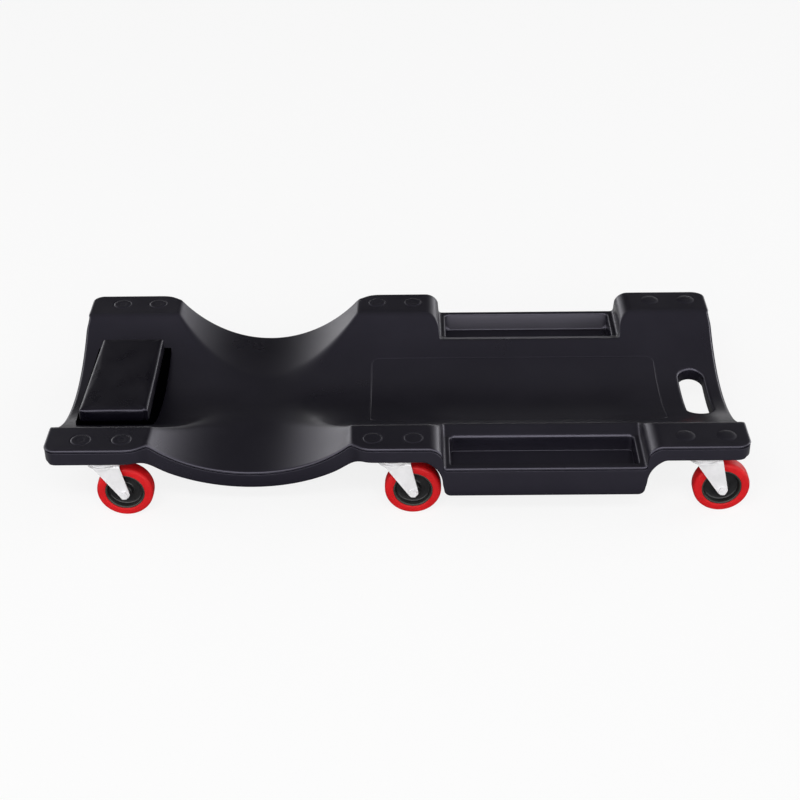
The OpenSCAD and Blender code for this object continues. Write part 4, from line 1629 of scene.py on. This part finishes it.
@dataclass
class Studio:
    """White paper, soft lamps and the room that the black plastic mirrors, with its sizes in metres.

    With x, y and z as the parts of a direction, the room's light is the greater of
    side(x) band(z) side_peak and front(y) front_band(z) front_peak, plus overhead(z).
    Each curve lists its two end points first.
    """

    side: Curve = (
        (0.0, 0.60), (1.0, 1.0), (0.2, 0.60), (0.275, 0.42), (0.33, 0.17), (0.40, 0.016), (0.50, 0.010),
        (0.585, 0.018), (0.63, 0.06), (0.67, 0.13), (0.725, 0.24), (0.775, 0.55), (0.83, 0.90))
    band: Curve = ((0.0, 1.0), (1.0, 0.0), (0.2, 1.0), (0.4, 0.8), (0.55, 0.6), (0.75, 0.2))
    overhead: Curve = (
        (0.0, 1.9), (1.0, 0.4), (0.045, 1.7), (0.10, 0.22), (0.2, 0.09), (0.3, 0.03), (0.5, 0.018),
        (0.62, 0.08), (0.77, 0.24), (0.94, 0.27))
    front: Curve = ((0.0, 1.0), (1.0, 0.0), (0.18, 1.0), (0.32, 0.0), (0.5, 0.0))
    front_band: Curve = ((0.0, 1.0), (1.0, 0.0), (0.45, 1.0), (0.66, 0.6), (0.8, 0.0))
    front_peak: float = 4.2
    side_peak: float = 3.2
    diffuse_share: float = 0.34
    floor_half: float = 15.0
    floor_seen: float = 1.05
    floor_mirrored: float = 0.45
    # Painted shadow: the floor's glow in reflections drops to this level in a box under the deck.
    floor_shaded: float = 0.10
    shaded_half: tuple[float, float] = (0.50, 0.22)
    shaded_fade: float = 0.10
    shadow_share: float = 0.2
    boxes: tuple[Softbox, ...] = (
        Softbox("front_softbox", (-0.2, -2.0, 2.4), (2.2, 0.5), 26.0),
        Softbox("left_softbox", (-2.3, -0.2, 1.0), (0.9, 1.4), 6.0),
        Softbox("right_softbox", (2.3, 0.6, 1.1), (0.9, 1.4), 6.0),
    )

    def build(self) -> None:
        """Makes the floor, the world and the lamps."""
        half = self.floor_half
        mesh = bpy.data.meshes.new("floor")
        mesh.from_pydata([(-half, -half, 0), (half, -half, 0), (half, half, 0), (-half, half, 0)], [],
                         [(0, 1, 2, 3)])
        floor = new_object("floor", mesh)
        mesh.materials.append(self._floor_material())
        self._world()
        for box in self.boxes:
            box.make()

    @staticmethod
    def _curve(tree: Tree, source: Socket, points: Curve) -> Socket:
        """Reads a value off a curve.

        Args:
            tree: the node tree.
            source: the value.
            points: the curve's points, with its two end points first.

        Returns:
            The curve's height there.
        """
        made = add_node(tree, "FloatCurve", {"Value": source})
        curve = made.mapping.curves[0]
        curve.points[0].location, curve.points[1].location = points[:2]
        for place in points[2:]:
            curve.points.new(*place)
        made.mapping.update()
        return made.outputs[0]

    def _floor_material(self) -> Material:
        """White paper: plain white to the camera but for a soft shadow, and dim where the plastic mirrors it,
        with a painted shadow, dimmer still, under the deck in those reflections.

        Returns:
            The material.
        """
        material = bpy.data.materials.new("floor_paper")
        material.use_nodes = True
        tree = material.node_tree
        diffuse = tree.nodes["Principled BSDF"]
        plain = {"Base Color": (0.8, 0.8, 0.8, 1.0), "Roughness": 0.9, "Specular IOR Level": 0.0}
        for name, value in plain.items():
            diffuse.inputs[name].default_value = value
        path = add_node(tree, "LightPath").outputs
        split = parts(tree, add_node(tree, "TexCoord").outputs["Object"])
        # Painted shadow under the deck: the glow that glossy rays see is dimmed inside this box.
        past = [calc(tree, "SUBTRACT", calc(tree, "ABSOLUTE", split[axis]), self.shaded_half[axis])
                for axis in (0, 1)]
        shade = ranged(tree, calc(tree, "MAXIMUM", *past), 0.0, self.shaded_fade,
                       (self.floor_shaded, self.floor_mirrored), smooth=True)
        level = mixed(tree, path["Is Camera Ray"], shade, self.floor_seen)
        white = add_node(tree, "Emission", {"Strength": level})
        lit = calc(tree, "MULTIPLY", path["Is Camera Ray"], 1.0 - self.shadow_share)
        seen = calc(tree, "MAXIMUM", lit, path["Is Glossy Ray"])
        mix = add_node(tree, "MixShader", {0: seen, 1: diffuse.outputs[0], 2: white.outputs[0]})
        tree.links.new(mix.outputs[0], tree.nodes["Material Output"].inputs["Surface"])
        return material

    def _world(self) -> None:
        """Lights the room.

        It is bright to both sides and in front, dark straight back and dim above, and plain white
        to the camera.
        """
        world = bpy.data.worlds.new("studio_room")
        bpy.context.scene.world = world
        world.use_nodes = True
        tree = world.node_tree
        split = parts(tree, add_node(tree, "TexCoord").outputs["Generated"])
        walls = []
        for axis, curve, band, peak in ((0, self.side, self.band, self.side_peak),
                                        (1, self.front, self.front_band, self.front_peak)):
            light = self._curve(tree, calc(tree, "MULTIPLY_ADD", split[axis], 0.5, 0.5), curve)
            light = calc(tree, "MULTIPLY", light, self._curve(tree, split[2], band))
            walls.append(calc(tree, "MULTIPLY", light, peak))
        path = add_node(tree, "LightPath").outputs
        matt = calc(tree, "MULTIPLY_ADD", path["Is Diffuse Ray"], self.diffuse_share - 1.0, 1.0)
        total = calc(tree, "ADD", calc(tree, "MAXIMUM", *walls), self._curve(tree, split[2], self.overhead))
        level = mixed(tree, path["Is Camera Ray"], calc(tree, "MULTIPLY", total, matt), 1.0)
        ground = tree.nodes["Background"]
        tree.links.new(level, ground.inputs["Strength"])
        ground.inputs["Color"].default_value = (1.0, 1.0, 1.0, 1.0)


@dataclass(frozen=True)
class PhotoCamera:
    """The camera that took the photograph, solved from the deck's edges and the wheels."""

    place: Triple = (0.02779, -1.9388, 1.27937)
    yaw: float = -0.69
    pitch: float = 32.23
    roll: float = -0.836
    focal_px: float = 1595.1
    image_px: float = 800.0
    sensor_mm: float = 36.0

    def make(self) -> None:
        """Puts the camera into the scene."""
        yaw, pitch, roll = (math.radians(a) for a in (self.yaw, self.pitch, self.roll))
        ahead = Vector((math.sin(yaw) * math.cos(pitch), math.cos(yaw) * math.cos(pitch), -math.sin(pitch)))
        right = Vector((math.cos(yaw), -math.sin(yaw), 0.0))
        up = right.cross(ahead)
        across = right * math.cos(roll) + up * math.sin(roll)
        over = up * math.cos(roll) - right * math.sin(roll)
        data = bpy.data.cameras.new("photo_camera")
        data.sensor_width = self.sensor_mm
        data.lens = self.focal_px * self.sensor_mm / self.image_px
        camera = bpy.data.objects.new("photo_camera", data)
        turn = Matrix((across, over, -ahead)).transposed().to_4x4()
        camera.matrix_world = Matrix.Translation(self.place) @ turn
        bpy.context.scene.collection.objects.link(camera)
        bpy.context.scene.camera = camera


FORK_EDGE = 0.4
CASTERS = ("head_right", "mid_right", "foot_right", "head_left", "mid_left", "foot_left")


def main() -> None:
    """Builds the scene in order."""
    logging.basicConfig(level=logging.INFO, format="%(message)s")
    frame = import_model()
    nodes = frame["nodes"]
    bpy.context.scene.view_settings.view_transform = "Standard"
    PhotoCamera().make()
    effects = Effects()
    Studio().build()
    finishes = {finish.name: effects.dress(finish) for finish in (BASE_PAINTED_SHADE, VINYL, ZINC, STEEL, BRASS, TYRE)}
    finishes[WOOD.name] = effects.dress(WOOD, Grain.WOOD)
    finishes[CORE.name] = effects.dress(CORE, marked=RIM)
    deck = Deck(DeckShape()).build()
    # The deck's material paints a lighter highlight colour on the trays' outer walls.
    deck.data.materials.append(effects.dress(DECK, marked=POCKET_PAINTED_HIGHLIGHT))
    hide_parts("deck")
    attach(deck, "root")
    LOG.info("deck: %d faces", len(deck.data.polygons))
    cushion = nodes["headrest_cushion"]
    cover = Headrest().build(cushion, finishes[VINYL.name])
    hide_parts(cushion.name)
    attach(cover, "root")
    LOG.info("headrest cover: %d faces", len(cover.data.polygons))
    for name in CASTERS:
        low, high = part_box(f"core_{name}")
        centre = tuple(c / MM for c in (low + high) / 2)
        Wheel().build(name, centre, finishes[CORE.name], finishes[TYRE.name])
        softened_copy(f"fork_shell_{name}", nodes[f"fork_{name}"], FORK_EDGE, f"caster_{name}",
                      finishes[ZINC.name])
        LOG.info("caster and wheel: %s", name)
    for name, node in nodes.items():
        if not node.hide_render:
            choice = HIDDEN.get(name, HIDDEN.get(name.split("_")[0], BASE_PAINTED_SHADE))
            node.data.materials.clear()
            node.data.materials.append(finishes[choice.name])


if __name__ == "__main__":
    main()
